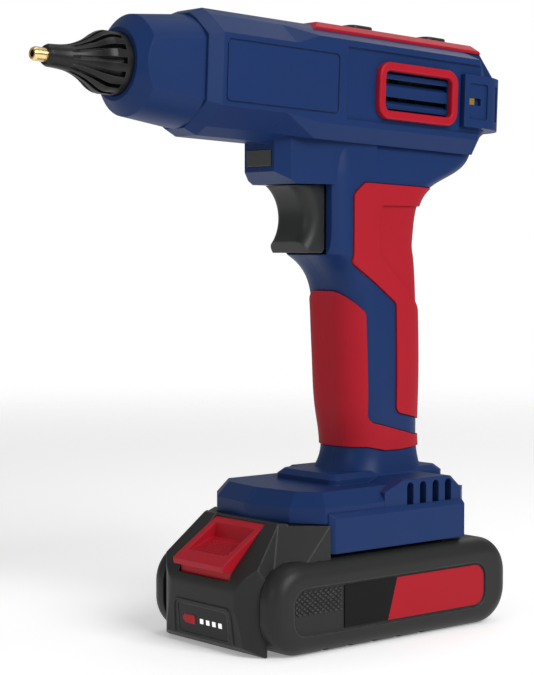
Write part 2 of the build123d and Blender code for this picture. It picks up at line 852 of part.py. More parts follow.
# The housing before it is parted: the outer form, its hollows and its openings
rocker_room = trigger_half + slide_gap
with BuildPart() as housing:
    add(shell_form.part)
    for bed in grip_beds:
        add(bed, mode=Mode.SUBTRACT)
    add(cover_form.part, mode=Mode.SUBTRACT)
    with BuildSketch(barrel.offset(-rear_ring + shell_wall)):
        Polygon(*barrel_outline, align=None)
        offset(amount=-shell_wall, kind=Kind.INTERSECTION)
        with Locations((0, ceiling_up + barrel_up)):
            Rectangle(2 * flank_half, 2 * barrel_up, mode=Mode.SUBTRACT)
    extrude(amount=rear_ring - shell_wall + spigot_rear, mode=Mode.SUBTRACT)
    with BuildSketch(barrel.offset(spigot_rear)):
        Circle(spigot_radius + seat_gap)
    extrude(amount=seam_along - spigot_rear, mode=Mode.SUBTRACT)
    with BuildSketch(barrel.offset(-rear_end)):
        Circle(tube_radius + seat_gap)
    extrude(amount=rear_end - rear_ring + shell_wall, mode=Mode.SUBTRACT)
    with BuildSketch(barrel.offset(channel_rear - seat_gap)):
        Rectangle(2 * (channel_half + seat_gap), 2 * (channel_up + seat_gap))
    extrude(amount=shell_wall - rear_ring - channel_rear + seat_gap, mode=Mode.SUBTRACT)
    add(handle_form(-grip_depth - shell_wall), mode=Mode.SUBTRACT)
    with BuildSketch(Plane.XZ):
        Polygon(
            (notch_rear + overlap, notch_floor),
            (notch_rear + overlap, neck_under),
            (rocker_room_front, neck_under),
            (rocker_room_front, neck_roof),
            (rocker_room_rear, neck_roof),
            (rocker_room_rear, notch_floor),
            align=None,
        )
    extrude(amount=rocker_room, both=True, mode=Mode.SUBTRACT)
    with BuildSketch(Plane.XZ):
        Polygon(
            (light_room_rear, light_room_low),
            (light_face - light_wall, light_room_low),
            (light_face - light_wall, neck_roof),
            (light_room_rear, neck_roof),
            align=None,
        )
    extrude(amount=light_room_half, both=True, mode=Mode.SUBTRACT)
    with BuildSketch(Plane.YZ.offset(light_face - light_wall)):
        with Locations((0, (lens_low + lens_high) / 2)):
            Rectangle(2 * (lens_half + seat_gap), lens_high - lens_low + 2 * seat_gap)
    extrude(amount=2 * light_wall, mode=Mode.SUBTRACT)
    with BuildSketch(barrel_side):
        with Locations((vent_along, 0)):
            Rectangle(vent_length - 2 * vent_band, vent_height - 2 * vent_band)
    extrude(amount=vent_face, both=True, mode=Mode.SUBTRACT)
    for side in (1, -1):
        outer = side * (flank_half - flank_sink - louvre_inset)
        inner = outer - side * louvre_depth
        for height, thick in louvres:
            with BuildSketch(barrel.offset(vent_along - vent_length / 2 + vent_band - overlap)):
                Polygon(
                    (outer, height - thick / 2),
                    (outer, height + thick / 2),
                    (inner, height + thick / 2 + louvre_rise),
                    (inner, height - thick / 2 + louvre_rise),
                    align=None,
                )
            extrude(amount=vent_length - 2 * vent_band + 2 * overlap)
        with BuildSketch(barrel_side.offset(-side * flank_half)):
            with Locations(((panel_front + panel_rear) / 2, 0)):
                RectangleRounded(panel_front - panel_rear, 2 * panel_half, panel_corner)
                RectangleRounded(
                    panel_front - panel_rear - 2 * panel_groove,
                    2 * panel_half - 2 * panel_groove,
                    panel_corner - panel_groove,
                    mode=Mode.SUBTRACT,
                )
        extrude(amount=side * panel_depth, mode=Mode.SUBTRACT)
        with BuildSketch(Plane.XZ.offset(-side * foot_half)):
            for step in range(foot_vent_count):
                with Locations((foot_vent_first - foot_vent_step * step, foot_vent_z)):
                    SlotOverall(foot_vent_length, foot_vent_width, rotation=90)
        extrude(amount=side * foot_vent_depth, mode=Mode.SUBTRACT)
    with BuildSketch(barrel_deck.offset(ceiling_up)):
        with Locations((front_button_along, 0), (rear_button_along, 0)):
            Rectangle(stem_size + 2 * slide_gap, stem_size + 2 * slide_gap)
    extrude(amount=cover_low - ceiling_up, mode=Mode.SUBTRACT)
    with BuildSketch(barrel_deck.offset(board_top)):
        for along in (board_front - post_inset, board_rear + post_inset):
            with Locations((along, post_half), (along, -post_half)):
                Circle(post_radius)
    extrude(amount=ceiling_up - board_top + overlap)
    with BuildSketch(Plane.XY.offset(foot_floor + shell_wall)):
        with Locations(((foot_room_front + foot_room_rear) / 2, 0)):
            Rectangle(foot_room_front - foot_room_rear, 2 * foot_room_half)
    extrude(amount=foot_room_top - foot_floor - shell_wall, mode=Mode.SUBTRACT)
    with BuildSketch(Plane.XY.offset(foot_room_top)):
        with Locations((lead_hole_x, 0)):
            Rectangle(lead_hole_length, lead_hole_width)
    extrude(amount=handle_stations[0][0] + overlap - foot_room_top, mode=Mode.SUBTRACT)
    with BuildSketch(Plane.XY.offset(rail_low - slide_gap)):
        with Locations(((terminal_front + front_face) / 2, 0)):
            Rectangle(front_face - terminal_front, 2 * (rail_half + slide_gap))
        with Locations(((channel_end + terminal_front) / 2, 0)):
            Rectangle(terminal_front - channel_end, 2 * (terminal_half + seat_gap))
    extrude(amount=foot_floor - rail_low + slide_gap, mode=Mode.SUBTRACT)
    with BuildSketch(Plane.XY.offset(guard_low)):
        with Locations(((terminal_front + front_face) / 2, 0)):
            Rectangle(front_face - terminal_front, 2 * (rail_neck_half + slide_gap))
        with Locations(((channel_end + terminal_front) / 2, 0)):
            Rectangle(terminal_front - channel_end, 2 * (terminal_half + seat_gap))
    extrude(amount=rail_low - guard_low, mode=Mode.SUBTRACT)
    with BuildSketch(Plane.XZ):
        with Locations((spring_rear - spring_rib / 2, spring_z)):
            Rectangle(spring_rib, spring_rib_high)
    extrude(amount=rocker_room + shell_wall, both=True)
    with BuildSketch(Plane.XZ):
        with Locations((rocker_x, rocker_z)):
            Circle(pin_radius + pin_gap)
    extrude(amount=rocker_pin_half + seat_gap, both=True, mode=Mode.SUBTRACT)

# Screw bosses, trimmed to the outer form
screw_places = [on_barrel(0, up, along) for up, along in barrel_screws]
screw_places += [Vector(along, 0, height) for along, height in handle_screws]
screw_points = [(place.X, place.Z) for place in screw_places]
with BuildPart() as bosses:
    with BuildSketch(Plane.XZ):
        with Locations(*screw_points):
            Circle(boss_radius)
    extrude(amount=flank_half, both=True)
    add(shell_form.part, mode=Mode.INTERSECT)
with BuildPart() as housing_left:
    add(housing.part)
    add(bosses.part)
    split(bisect_by=Plane.XZ, keep=Keep.BOTTOM)
    with BuildSketch(Plane.XZ):
        with Locations(*screw_points):
            Circle(screw_shank + pin_gap)
    extrude(amount=-screw_reach - overlap, mode=Mode.SUBTRACT)
housing_left.part.label = "housing_left"
export_step(housing_left.part, "parts/housing_left.step")
with BuildPart() as housing_right:
    add(housing.part)
    add(bosses.part)
    split(bisect_by=Plane.XZ, keep=Keep.TOP)
    with BuildSketch(Plane.XZ):
        with Locations(*screw_points):
            Circle(screw_shank + seat_gap)
    extrude(amount=screw_seat, mode=Mode.SUBTRACT)
    with BuildSketch(Plane.XZ.offset(screw_seat)):
        with Locations(*screw_points):
            Circle(screw_head + seat_gap)
    extrude(amount=2 * flank_half, mode=Mode.SUBTRACT)
housing_right.part.label = "housing_right"
export_step(housing_right.part, "parts/housing_right.step")
with BuildPart() as housing_screws:
    with BuildSketch(Plane.XZ.offset(-screw_reach)):
        with Locations(*screw_points):
            Circle(screw_shank)
    extrude(amount=screw_reach + screw_seat)
    with BuildSketch(Plane.XZ.offset(screw_seat)):
        with Locations(*screw_points):
            Circle(screw_head)
    extrude(amount=screw_head_high)
    with BuildSketch(Plane.XZ.offset(screw_seat + screw_head_high)):
        with Locations(*screw_points):
            RegularPolygon(socket_radius, 6)
    extrude(amount=-socket_depth, mode=Mode.SUBTRACT)
housing_screws.part.label = "housing_screws"
export_step(housing_screws.part, "parts/housing_screws.step")

# Nose collar: round, with a flat on each side
with BuildPart() as nose_collar:
    with BuildSketch(barrel_side):
        Polygon(
            (spigot_rear, collar_bore),
            (spigot_rear, spigot_radius),
            (seam_along, spigot_radius),
            (seam_along, collar_radius),
            (collar_edge, collar_edge_radius),
            (collar_front, collar_front_radius),
            (collar_front, boot_radius + seat_gap),
            (collar_front - collar_mouth, boot_radius + seat_gap),
            (collar_edge - collar_cone, collar_bore),
            align=None,
        )
    revolve(axis=Axis(barrel_start, barrel_axis))
    with BuildSketch(barrel_deck):
        for side in (1, -1):
            Polygon(
                (seam_along - overlap, side * collar_flat),
                (collar_front + overlap, side * collar_edge_flat),
                (collar_front + overlap, side * 2 * collar_radius),
                (seam_along - overlap, side * 2 * collar_radius),
                align=None,
            )
    extrude(amount=collar_radius, both=True, mode=Mode.SUBTRACT)
nose_collar.part.label = "nose_collar"
export_step(nose_collar.part, "parts/nose_collar.step")

# Rubber boot: a trumpet with slots that narrow towards the tip
with BuildPart() as boot_slot:
    with BuildSketch(barrel_side):
        Polygon(
            *boot_slot_floor,
            (boot_slot_floor[-1][0], 2 * boot_radius),
            (boot_ring, 2 * boot_radius),
            align=None,
        )
    extrude(amount=boot_slot_width, both=True)
    with BuildSketch(barrel_deck):
        Polygon(
            (boot_ring, boot_slot_width / 2),
            (boot_slot_floor[-1][0], boot_slot_tip / 2),
            (boot_slot_floor[-1][0], -boot_slot_tip / 2),
            (boot_ring, -boot_slot_width / 2),
            align=None,
        )
    extrude(amount=2 * boot_radius, mode=Mode.INTERSECT)
with BuildPart() as nozzle_boot:
    with BuildSketch(barrel_side):
        with BuildLine():
            Polyline(
                (boot_front, tip_radius + pin_gap),
                (flange_front + nozzle_cone + 2 * slide_gap, tip_radius + pin_gap),
                (flange_front + slide_gap + seat_gap, nozzle_flange + slide_gap),
                (boot_base, nozzle_flange + slide_gap),
                (boot_base, boot_radius),
                (boot_shoulder, boot_radius),
            )
            Spline(
                (boot_shoulder, boot_radius),
                boot_flare,
                boot_waist,
                (boot_front - boot_lip, boot_front_radius),
                tangents=((1.0, -0.15), (1.0, -0.05)),
            )
            Polyline(
                (boot_front - boot_lip, boot_front_radius),
                (boot_front, boot_front_radius - boot_lip_round),
                (boot_front, tip_radius + pin_gap),
            )
        make_face()
    revolve(axis=Axis(barrel_start, barrel_axis))
    for turn in range(boot_slots):
        swing = boot_slot.part.rotate(Axis(barrel_start, barrel_axis), (turn + 0.5) * 360.0 / boot_slots)
        add(swing, mode=Mode.SUBTRACT)
nozzle_boot.part.label = "nozzle_boot"
export_step(nozzle_boot.part, "parts/nozzle_boot.step")

# Brass nozzle
with BuildPart() as nozzle:
    with BuildSketch(barrel_side):
        Polygon(
            (nozzle_rear, tip_bore),
            (nozzle_rear, nozzle_stub),
            (flange_rear, nozzle_stub),
            (flange_rear, nozzle_flange),
            (flange_front, nozzle_flange),
            (flange_front + nozzle_cone, tip_radius),
            (tip_end - 2 * tip_bevel, tip_radius),
            (tip_end, tip_radius - tip_bevel),
            (tip_end, tip_bore),
            align=None,
        )
    revolve(axis=Axis(barrel_start, barrel_axis))
nozzle.part.label = "nozzle"
export_step(nozzle.part, "parts/nozzle.step")

# Melt chamber with its heaters, thermostat and holders
with BuildPart() as melt_chamber:
    with BuildSketch(barrel_side):
        Polygon(
            (chamber_rear, stick_bore),
            (chamber_rear, chamber_radius),
            (chamber_front, chamber_radius),
            (chamber_front, chamber_boss),
            (flange_rear, chamber_boss),
            (flange_rear, nozzle_stub),
            (nozzle_rear, nozzle_stub),
            (nozzle_rear, tip_bore),
            (chamber_front - chamber_taper, stick_bore),
            align=None,
        )
    revolve(axis=Axis(barrel_start, barrel_axis))
    with BuildSketch(barrel.offset(heater_along - heater_length / 2)):
        with Locations((0, heater_seat + heater_thick), (0, -heater_seat - heater_thick)):
            Rectangle(2 * chamber_radius, 2 * heater_thick)
    extrude(amount=heater_length, mode=Mode.SUBTRACT)
    with BuildSketch(barrel_side.offset(thermostat_sink - chamber_radius)):
        with Locations((thermostat_along, 0)):
            Circle(thermostat_radius + seat_gap)
    extrude(amount=-thermostat_high, mode=Mode.SUBTRACT)
melt_chamber.part.label = "melt_chamber"
export_step(melt_chamber.part, "parts/melt_chamber.step")
with BuildPart() as heater_plates:
    with BuildSketch(barrel.offset(heater_along - heater_length / 2)):
        with Locations((0, heater_seat + heater_thick / 2), (0, -heater_seat - heater_thick / 2)):
            Rectangle(heater_width, heater_thick)
    extrude(amount=heater_length)
heater_plates.part.label = "heater_plates"
export_step(heater_plates.part, "parts/heater_plates.step")
with BuildPart() as thermostat:
    with BuildSketch(barrel_side.offset(thermostat_sink - chamber_radius)):
        with Locations((thermostat_along, 0)):
            Circle(thermostat_radius)
    extrude(amount=-thermostat_high)
thermostat.part.label = "thermostat"
export_step(thermostat.part, "parts/thermostat.step")
with BuildPart() as rear_holder:
    with BuildSketch(barrel.offset(rear_holder_along)):
        Polygon(*barrel_outline, align=None)
        offset(amount=-shell_wall - seat_gap, kind=Kind.INTERSECTION)
        with Locations((0, ceiling_up - seat_gap + barrel_up)):
            Rectangle(2 * flank_half, 2 * barrel_up, mode=Mode.SUBTRACT)
        Circle(chamber_radius + seat_gap, mode=Mode.SUBTRACT)
    extrude(amount=holder_thick)
rear_holder.part.label = "rear_holder"
export_step(rear_holder.part, "parts/rear_holder.step")
with BuildPart() as front_holder:
    with BuildSketch(barrel.offset(front_holder_along)):
        Circle(collar_bore - seat_gap)
        Circle(chamber_radius + seat_gap, mode=Mode.SUBTRACT)
    extrude(amount=holder_thick)
front_holder.part.label = "front_holder"
export_step(front_holder.part, "parts/front_holder.step")
with BuildPart() as stick_sleeve:
    with BuildSketch(barrel_side):
        Polygon(
            (sleeve_rear, stick_bore + sleeve_lead),
            (sleeve_rear, sleeve_radius),
            (chamber_rear, sleeve_radius),
            (chamber_rear, stick_bore),
            (sleeve_rear + sleeve_mouth, stick_bore),
            align=None,
        )
    revolve(axis=Axis(barrel_start, barrel_axis))
stick_sleeve.part.label = "stick_sleeve"
export_step(stick_sleeve.part, "parts/stick_sleeve.step")

# Guide channel: the inlet tube, a block with side windows, and the floor under the carriage
with BuildPart() as guide_channel:
    with BuildSketch(barrel.offset(channel_rear)):
        RectangleRounded(2 * channel_half, 2 * channel_up, channel_round)
    extrude(amount=channel_front - channel_rear)
    with BuildSketch(barrel.offset(cap_rear)):
        Circle(tube_radius)
    extrude(amount=channel_rear - cap_rear)
    with BuildSketch(barrel.offset(channel_front)):
        with Locations((0, -carriage_low - slide_gap - floor_thick / 2)):
            Rectangle(2 * floor_half, floor_thick)
    extrude(amount=rear_holder_along - channel_front)
    with BuildSketch(barrel.offset(channel_front - floor_root)):
        with Locations((0, -(carriage_low + slide_gap + floor_thick + channel_up - overlap) / 2)):
            Rectangle(2 * floor_half, carriage_low + slide_gap + floor_thick - channel_up + overlap)
    extrude(amount=floor_root)
    with BuildSketch(barrel.offset(cap_rear)):
        Circle(stick_bore)
    extrude(amount=channel_front - cap_rear, mode=Mode.SUBTRACT)
    with BuildSketch(barrel_side):
        with Locations(*[(along, 0) for along in window_places]):
            Rectangle(window_size, window_size)
    extrude(amount=channel_half, both=True, mode=Mode.SUBTRACT)
guide_channel.part.label = "guide_channel"
export_step(guide_channel.part, "parts/guide_channel.step")

# Rear cap: a strap round the rear end of the barrel
with BuildPart() as rear_cap:
    with BuildSketch(barrel_deck) as cap_plan:
        with Locations(((cap_front + cap_rear) / 2, 0)):
            Rectangle(cap_front - cap_rear, 2 * cap_half)
        fillet(cap_plan.vertices().sort_by(Axis.X)[:2], cap_round)
    extrude(amount=cap_up, both=True)
    add(barrel_form.part, mode=Mode.SUBTRACT)
    with BuildSketch(barrel.offset(cap_rear)):
        Circle(tube_radius + seat_gap)
    extrude(amount=cap_front - cap_rear, mode=Mode.SUBTRACT)
    for side in (1, -1):
        with BuildSketch(barrel_side.offset(-side * cap_half)):
            with Locations((cap_recess_along, 0)):
                RectangleRounded(cap_recess_length, cap_recess_height, cap_recess_round)
        extrude(amount=side * cap_recess_depth, mode=Mode.SUBTRACT)
        with BuildSketch(barrel_side.offset(-side * cap_half)):
            with Locations((cap_window_along, 0)):
                Rectangle(cap_window_length, cap_window_height)
        extrude(amount=side * (cap_half - flank_half + flank_sink), mode=Mode.SUBTRACT)
    with BuildSketch(barrel_deck):
        for side in (1, -1):
            with Locations((cap_rear + cap_round, side * (cap_half - cap_round))):
                with PolarLocations(cap_round, 1, start_angle=side * (90 + cap_slot_turn)):
                    Rectangle(2 * cap_slot_depth, cap_slot_width)
    extrude(amount=cap_slot_high / 2, both=True, mode=Mode.SUBTRACT)
rear_cap.part.label = "rear_cap"
export_step(rear_cap.part, "parts/rear_cap.step")
with BuildPart() as cap_catches:
    for side in (1, -1):
        with BuildSketch(barrel_side.offset(-side * (flank_half - flank_sink))):
            with Locations((cap_window_along + cap_window_length / 4, 0)):
                Rectangle(cap_window_length / 2 - seat_gap, cap_window_height - 2 * seat_gap)
        extrude(amount=-side * catch_proud)
cap_catches.part.label = "cap_catches"
export_step(cap_catches.part, "parts/cap_catches.step")

# Buttons, indicator lenses and the control board under the cover
button_places = {"front_button": front_button_along, "rear_button": rear_button_along}
button_parts = {}
for button_name, button_along in button_places.items():
    with BuildPart() as button:
        with BuildSketch(barrel_deck.offset(button_foot)):
            with Locations((button_along, 0)):
                RectangleRounded(button_size, button_size, button_round)
        extrude(amount=cover_up + button_proud - button_foot)
        fillet(button.faces().sort_by(Axis.Z)[-1].edges(), button_edge)
        with BuildSketch(barrel_deck.offset(board_top + switch_high + button_travel + seat_gap)):
            with Locations((button_along, 0)):
                Rectangle(stem_size, stem_size)
        extrude(amount=button_foot - board_top - switch_high - button_travel - seat_gap)
    button_parts[button_name] = button.part
front_button = button_parts["front_button"]
front_button.label = "front_button"
export_step(front_button, "parts/front_button.step")
rear_button = button_parts["rear_button"]
rear_button.label = "rear_button"
export_step(rear_button, "parts/rear_button.step")
with BuildPart() as indicator_lenses:
    with BuildSketch(barrel_deck.offset(cover_low)):
        with Locations(*[(along, 0) for along in lens_places]):
            Circle(lens_radius)
    extrude(amount=cover_up + lens_proud - cover_low)
indicator_lenses.part.label = "indicator_lenses"
export_step(indicator_lenses.part, "parts/indicator_lenses.step")
with BuildPart() as control_board:
    with BuildSketch(barrel_deck.offset(board_top - board_thick)):
        with Locations(((board_front + board_rear) / 2, 0)):
            Rectangle(board_front - board_rear, 2 * board_half)
    extrude(amount=board_thick)
    with BuildSketch(barrel_deck.offset(board_top)):
        with Locations((front_button_along, 0), (rear_button_along, 0)):
            Rectangle(switch_size, switch_size)
    extrude(amount=switch_high)
control_board.part.label = "control_board"
export_step(control_board.part, "parts/control_board.step")

# Vent frames
vent_parts = {}
for side, vent_name in ((1, "vent_frame_left"), (-1, "vent_frame_right")):
    with BuildPart() as vent_frame:
        with BuildSketch(barrel_side.offset(-side * (flank_half - flank_sink))):
            with Locations((vent_along, 0)):
                RectangleRounded(vent_length, vent_height, vent_round)
                RectangleRounded(
                    vent_length - 2 * vent_band,
                    vent_height - 2 * vent_band,
                    vent_inner_round,
                    mode=Mode.SUBTRACT,
                )
        extrude(amount=-side * (vent_face - flank_half + flank_sink))
        outer_face = vent_frame.faces().sort_by(Axis.Y)[-1 if side > 0 else 0]
        fillet(outer_face.edges(), vent_edge)
    vent_parts[vent_name] = vent_frame.part
vent_frame_left = vent_parts["vent_frame_left"]
vent_frame_left.label = "vent_frame_left"
export_step(vent_frame_left, "parts/vent_frame_left.step")
vent_frame_right = vent_parts["vent_frame_right"]
vent_frame_right.label = "vent_frame_right"
export_step(vent_frame_right, "parts/vent_frame_right.step")

# Work light
with BuildPart() as light_lens:
    with BuildSketch(Plane.YZ.offset(light_face - light_wall)):
        with Locations((0, (lens_low + lens_high) / 2)):
            Rectangle(2 * lens_half, lens_high - lens_low)
    extrude(amount=light_wall + light_proud)
light_lens.part.label = "light_lens"
export_step(light_lens.part, "parts/light_lens.step")
with BuildPart() as light_board:
    with BuildSketch(Plane.YZ.offset(light_face - light_wall - board_thick - seat_gap)):
        with Locations((0, light_room_low + light_board_high / 2 + seat_gap)):
            Rectangle(2 * (light_room_half - seat_gap), light_board_high)
    extrude(amount=board_thick)
light_board.part.label = "light_board"
export_step(light_board.part, "parts/light_board.step")

# Trigger with its tongue, pin and spring
trigger_pin_x = rocker_x + trigger_travel / 2
trigger_pin_z = rocker_z - rocker_arm
with BuildPart() as trigger:
    with BuildSketch(Plane.XZ) as trigger_profile:
        with BuildLine():
            Polyline(
                (trigger_toe, trigger_low + toe_high),
                (trigger_toe - toe_back, trigger_low),
                (trigger_cheek, trigger_low),
                (trigger_cheek, trigger_top),
                (trigger_brow, trigger_top),
            )
            ThreePointArc(
                (trigger_brow, trigger_top),
                (trigger_waist, trigger_waist_z),
                (trigger_toe, trigger_low + toe_high),
            )
        make_face()
        heel = trigger_profile.vertices().sort_by_distance((trigger_cheek, trigger_low))[0]
        fillet(heel, trigger_corner)
    extrude(amount=trigger_half, both=True)
    fillet(trigger.edges().filter_by(GeomType.CIRCLE).sort_by(Axis.X)[-2:], trigger_edge)
    with BuildSketch(Plane.XZ):
        with Locations(((tongue_rear + trigger_cheek + overlap) / 2, (tongue_low + tongue_top) / 2)):
            Rectangle(trigger_cheek + overlap - tongue_rear, tongue_top - tongue_low)
    extrude(amount=tongue_half, both=True)
    with BuildSketch(Plane.XZ):
        with Locations((trigger_pin_x, trigger_pin_z)):
            Circle(pin_radius + pin_gap)
    extrude(amount=tongue_half, both=True, mode=Mode.SUBTRACT)
    with BuildSketch(Plane.YZ.offset(tongue_rear)):
        with Locations((0, spring_z)):
            Circle(spring_bore)
    extrude(amount=spring_front - tongue_rear, mode=Mode.SUBTRACT)
trigger.part.label = "trigger"
export_step(trigger.part, "parts/trigger.step")
with BuildPart() as trigger_pin:
    with BuildSketch(Plane.XZ):
        with Locations((trigger_pin_x, trigger_pin_z)):
            Circle(pin_radius)
    extrude(amount=trigger_pin_half, both=True)
trigger_pin.part.label = "trigger_pin"
export_step(trigger_pin.part, "parts/trigger_pin.step")
with BuildPart() as trigger_spring:
    with BuildSketch(Plane.YZ.offset(spring_rear)):
        with Locations((0, spring_z)):
            Circle(spring_radius)
            Circle(spring_radius - spring_wire, mode=Mode.SUBTRACT)
    extrude(amount=spring_front - spring_rear)
trigger_spring.part.label = "trigger_spring"
export_step(trigger_spring.part, "parts/trigger_spring.step")

# Rocker: its lower slots follow the trigger's pin, its upper slots drive the carriage
rocker_swing = math.atan2(trigger_travel / 2, rocker_arm)
rocker_place = barrel.to_local_coords(Vector(rocker_x, 0, rocker_z))
rocker_rise = -rocker_place.Y
carriage_pin = rocker_place.Z - rocker_rise * math.tan(rocker_swing)
upper_lean = rocker_swing + math.radians(barrel_pitch)
rocker_arms = (
    (rocker_arm, math.sin(rocker_swing), -math.cos(rocker_swing)),
    (rocker_rise, -math.sin(upper_lean), math.cos(upper_lean)),
)
slot_stretch = 1 / math.cos(rocker_swing)
with BuildPart() as rocker:
    with BuildSketch(Plane.XZ):
        for arm, way_x, way_z in rocker_arms:
            reach = arm * (1 + slot_stretch) / 2
            tip = (rocker_x + way_x * reach, rocker_z + way_z * reach)
            link((rocker_x, rocker_z), tip, rocker_width)
        with Locations((rocker_x, rocker_z)):
            Circle(rocker_hub)
    extrude(amount=rocker_half, both=True)
    with BuildSketch(Plane.XZ):
        with Locations((rocker_x, rocker_z)):
            Circle(2 * rocker_arm)
            Circle(rocker_hub, mode=Mode.SUBTRACT)
    extrude(amount=rocker_half - rocker_plate, both=True, mode=Mode.SUBTRACT)
    with BuildSketch(Plane.XZ):
        with Locations((rocker_x, rocker_z)):
            Circle(pin_radius + pin_gap)
        for arm, way_x, way_z in rocker_arms:
            far = arm * slot_stretch
            link(
                (rocker_x + way_x * arm, rocker_z + way_z * arm),
                (rocker_x + way_x * far, rocker_z + way_z * far),
                2 * (pin_radius + slot_play),
            )
    extrude(amount=rocker_half, both=True, mode=Mode.SUBTRACT)
rocker.part.label = "rocker"
export_step(rocker.part, "parts/rocker.step")
with BuildPart() as rocker_pin:
    with BuildSketch(Plane.XZ):
        with Locations((rocker_x, rocker_z)):
            Circle(pin_radius)
    extrude(amount=rocker_pin_half, both=True)
rocker_pin.part.label = "rocker_pin"
export_step(rocker_pin.part, "parts/rocker_pin.step")

# Carriage, and the gripper that bites the glue stick
gripper_hinge = (carriage_pin - gripper_rear, gripper_up)
with BuildPart() as carriage:
    with BuildSketch(barrel.offset(carriage_pin - carriage_rear)):
        with Locations((0, (carriage_up - carriage_low) / 2)):
            Rectangle(2 * carriage_half, carriage_up + carriage_low)
    extrude(amount=carriage_rear + carriage_front)
    with BuildSketch(barrel_side):
        with Locations((carriage_pin, 0)):
            Circle(pin_radius)
    extrude(amount=carriage_pins, both=True)
    with BuildSketch(barrel_side):
        link((gripper_hinge[0], stick_bore), gripper_hinge, 2 * ear_thick)
    extrude(amount=ear_half, both=True)
    with BuildSketch(barrel_deck):
        with Locations((carriage_pin + (gripper_slot_front - gripper_slot_rear) / 2, 0)):
            Rectangle(gripper_slot_front + gripper_slot_rear, 2 * (gripper_half + slide_gap))
    extrude(amount=gripper_up + 2 * ear_thick, mode=Mode.SUBTRACT)
    with BuildSketch(barrel.offset(carriage_pin - carriage_rear)):
        Circle(stick_bore + seat_gap)
    extrude(amount=carriage_rear + carriage_front, mode=Mode.SUBTRACT)
    with BuildSketch(barrel_side):
        with Locations(gripper_hinge):
            Circle(gripper_pin_radius + pin_gap)
    extrude(amount=ear_half, both=True, mode=Mode.SUBTRACT)
carriage.part.label = "carriage"
export_step(carriage.part, "parts/carriage.step")
with BuildPart() as gripper:
    with BuildSketch(barrel_side):
        link(gripper_hinge, (carriage_pin + gripper_reach, gripper_tip_up), gripper_bar)
        Polygon(
            (carriage_pin + gripper_reach - tooth_rear, gripper_tip_up),
            (carriage_pin + gripper_reach + tooth_front, gripper_tip_up),
            (carriage_pin + gripper_reach + tooth_edge, tooth_up),
            (carriage_pin + gripper_reach, tooth_up),
            align=None,
        )
        with Locations(gripper_hinge):
            Circle(gripper_pin_radius + pin_gap, mode=Mode.SUBTRACT)
    extrude(amount=gripper_half, both=True)
gripper.part.label = "gripper"
export_step(gripper.part, "parts/gripper.step")
with BuildPart() as gripper_pin:
    with BuildSketch(barrel_side):
        with Locations(gripper_hinge):
            Circle(gripper_pin_radius)
    extrude(amount=gripper_pin_half, both=True)
gripper_pin.part.label = "gripper_pin"
export_step(gripper_pin.part, "parts/gripper_pin.step")
with BuildPart() as gripper_spring:
    for side in (1, -1):
        with BuildSketch(barrel_side.offset(side * (ear_half + seat_gap))):
            with Locations(gripper_hinge):
                Circle(torsion_radius)
                Circle(gripper_pin_radius + seat_gap, mode=Mode.SUBTRACT)
        extrude(amount=side * (gripper_pin_half - ear_half - 2 * seat_gap))
gripper_spring.part.label = "gripper_spring"
export_step(gripper_spring.part, "parts/gripper_spring.step")

# Battery terminals in the foot
with BuildPart() as terminal_block:
    with BuildSketch(Plane.XY.offset(terminal_low)):
        with Locations(((channel_end + terminal_front) / 2, 0)):
            Rectangle(terminal_front - channel_end, 2 * terminal_half)
    extrude(amount=foot_floor - 2 * seat_gap - terminal_low)
terminal_block.part.label = "terminal_block"
export_step(terminal_block.part, "parts/terminal_block.step")
with BuildPart() as terminal_blades:
    with BuildSketch(Plane.XY.offset(blade_low)):
        for place in blade_places:
            with Locations(((terminal_front + blade_front) / 2, place)):
                Rectangle(blade_front - terminal_front, blade_thick)
    extrude(amount=blade_high - blade_low)
terminal_blades.part.label = "terminal_blades"
export_step(terminal_blades.part, "parts/terminal_blades.step")

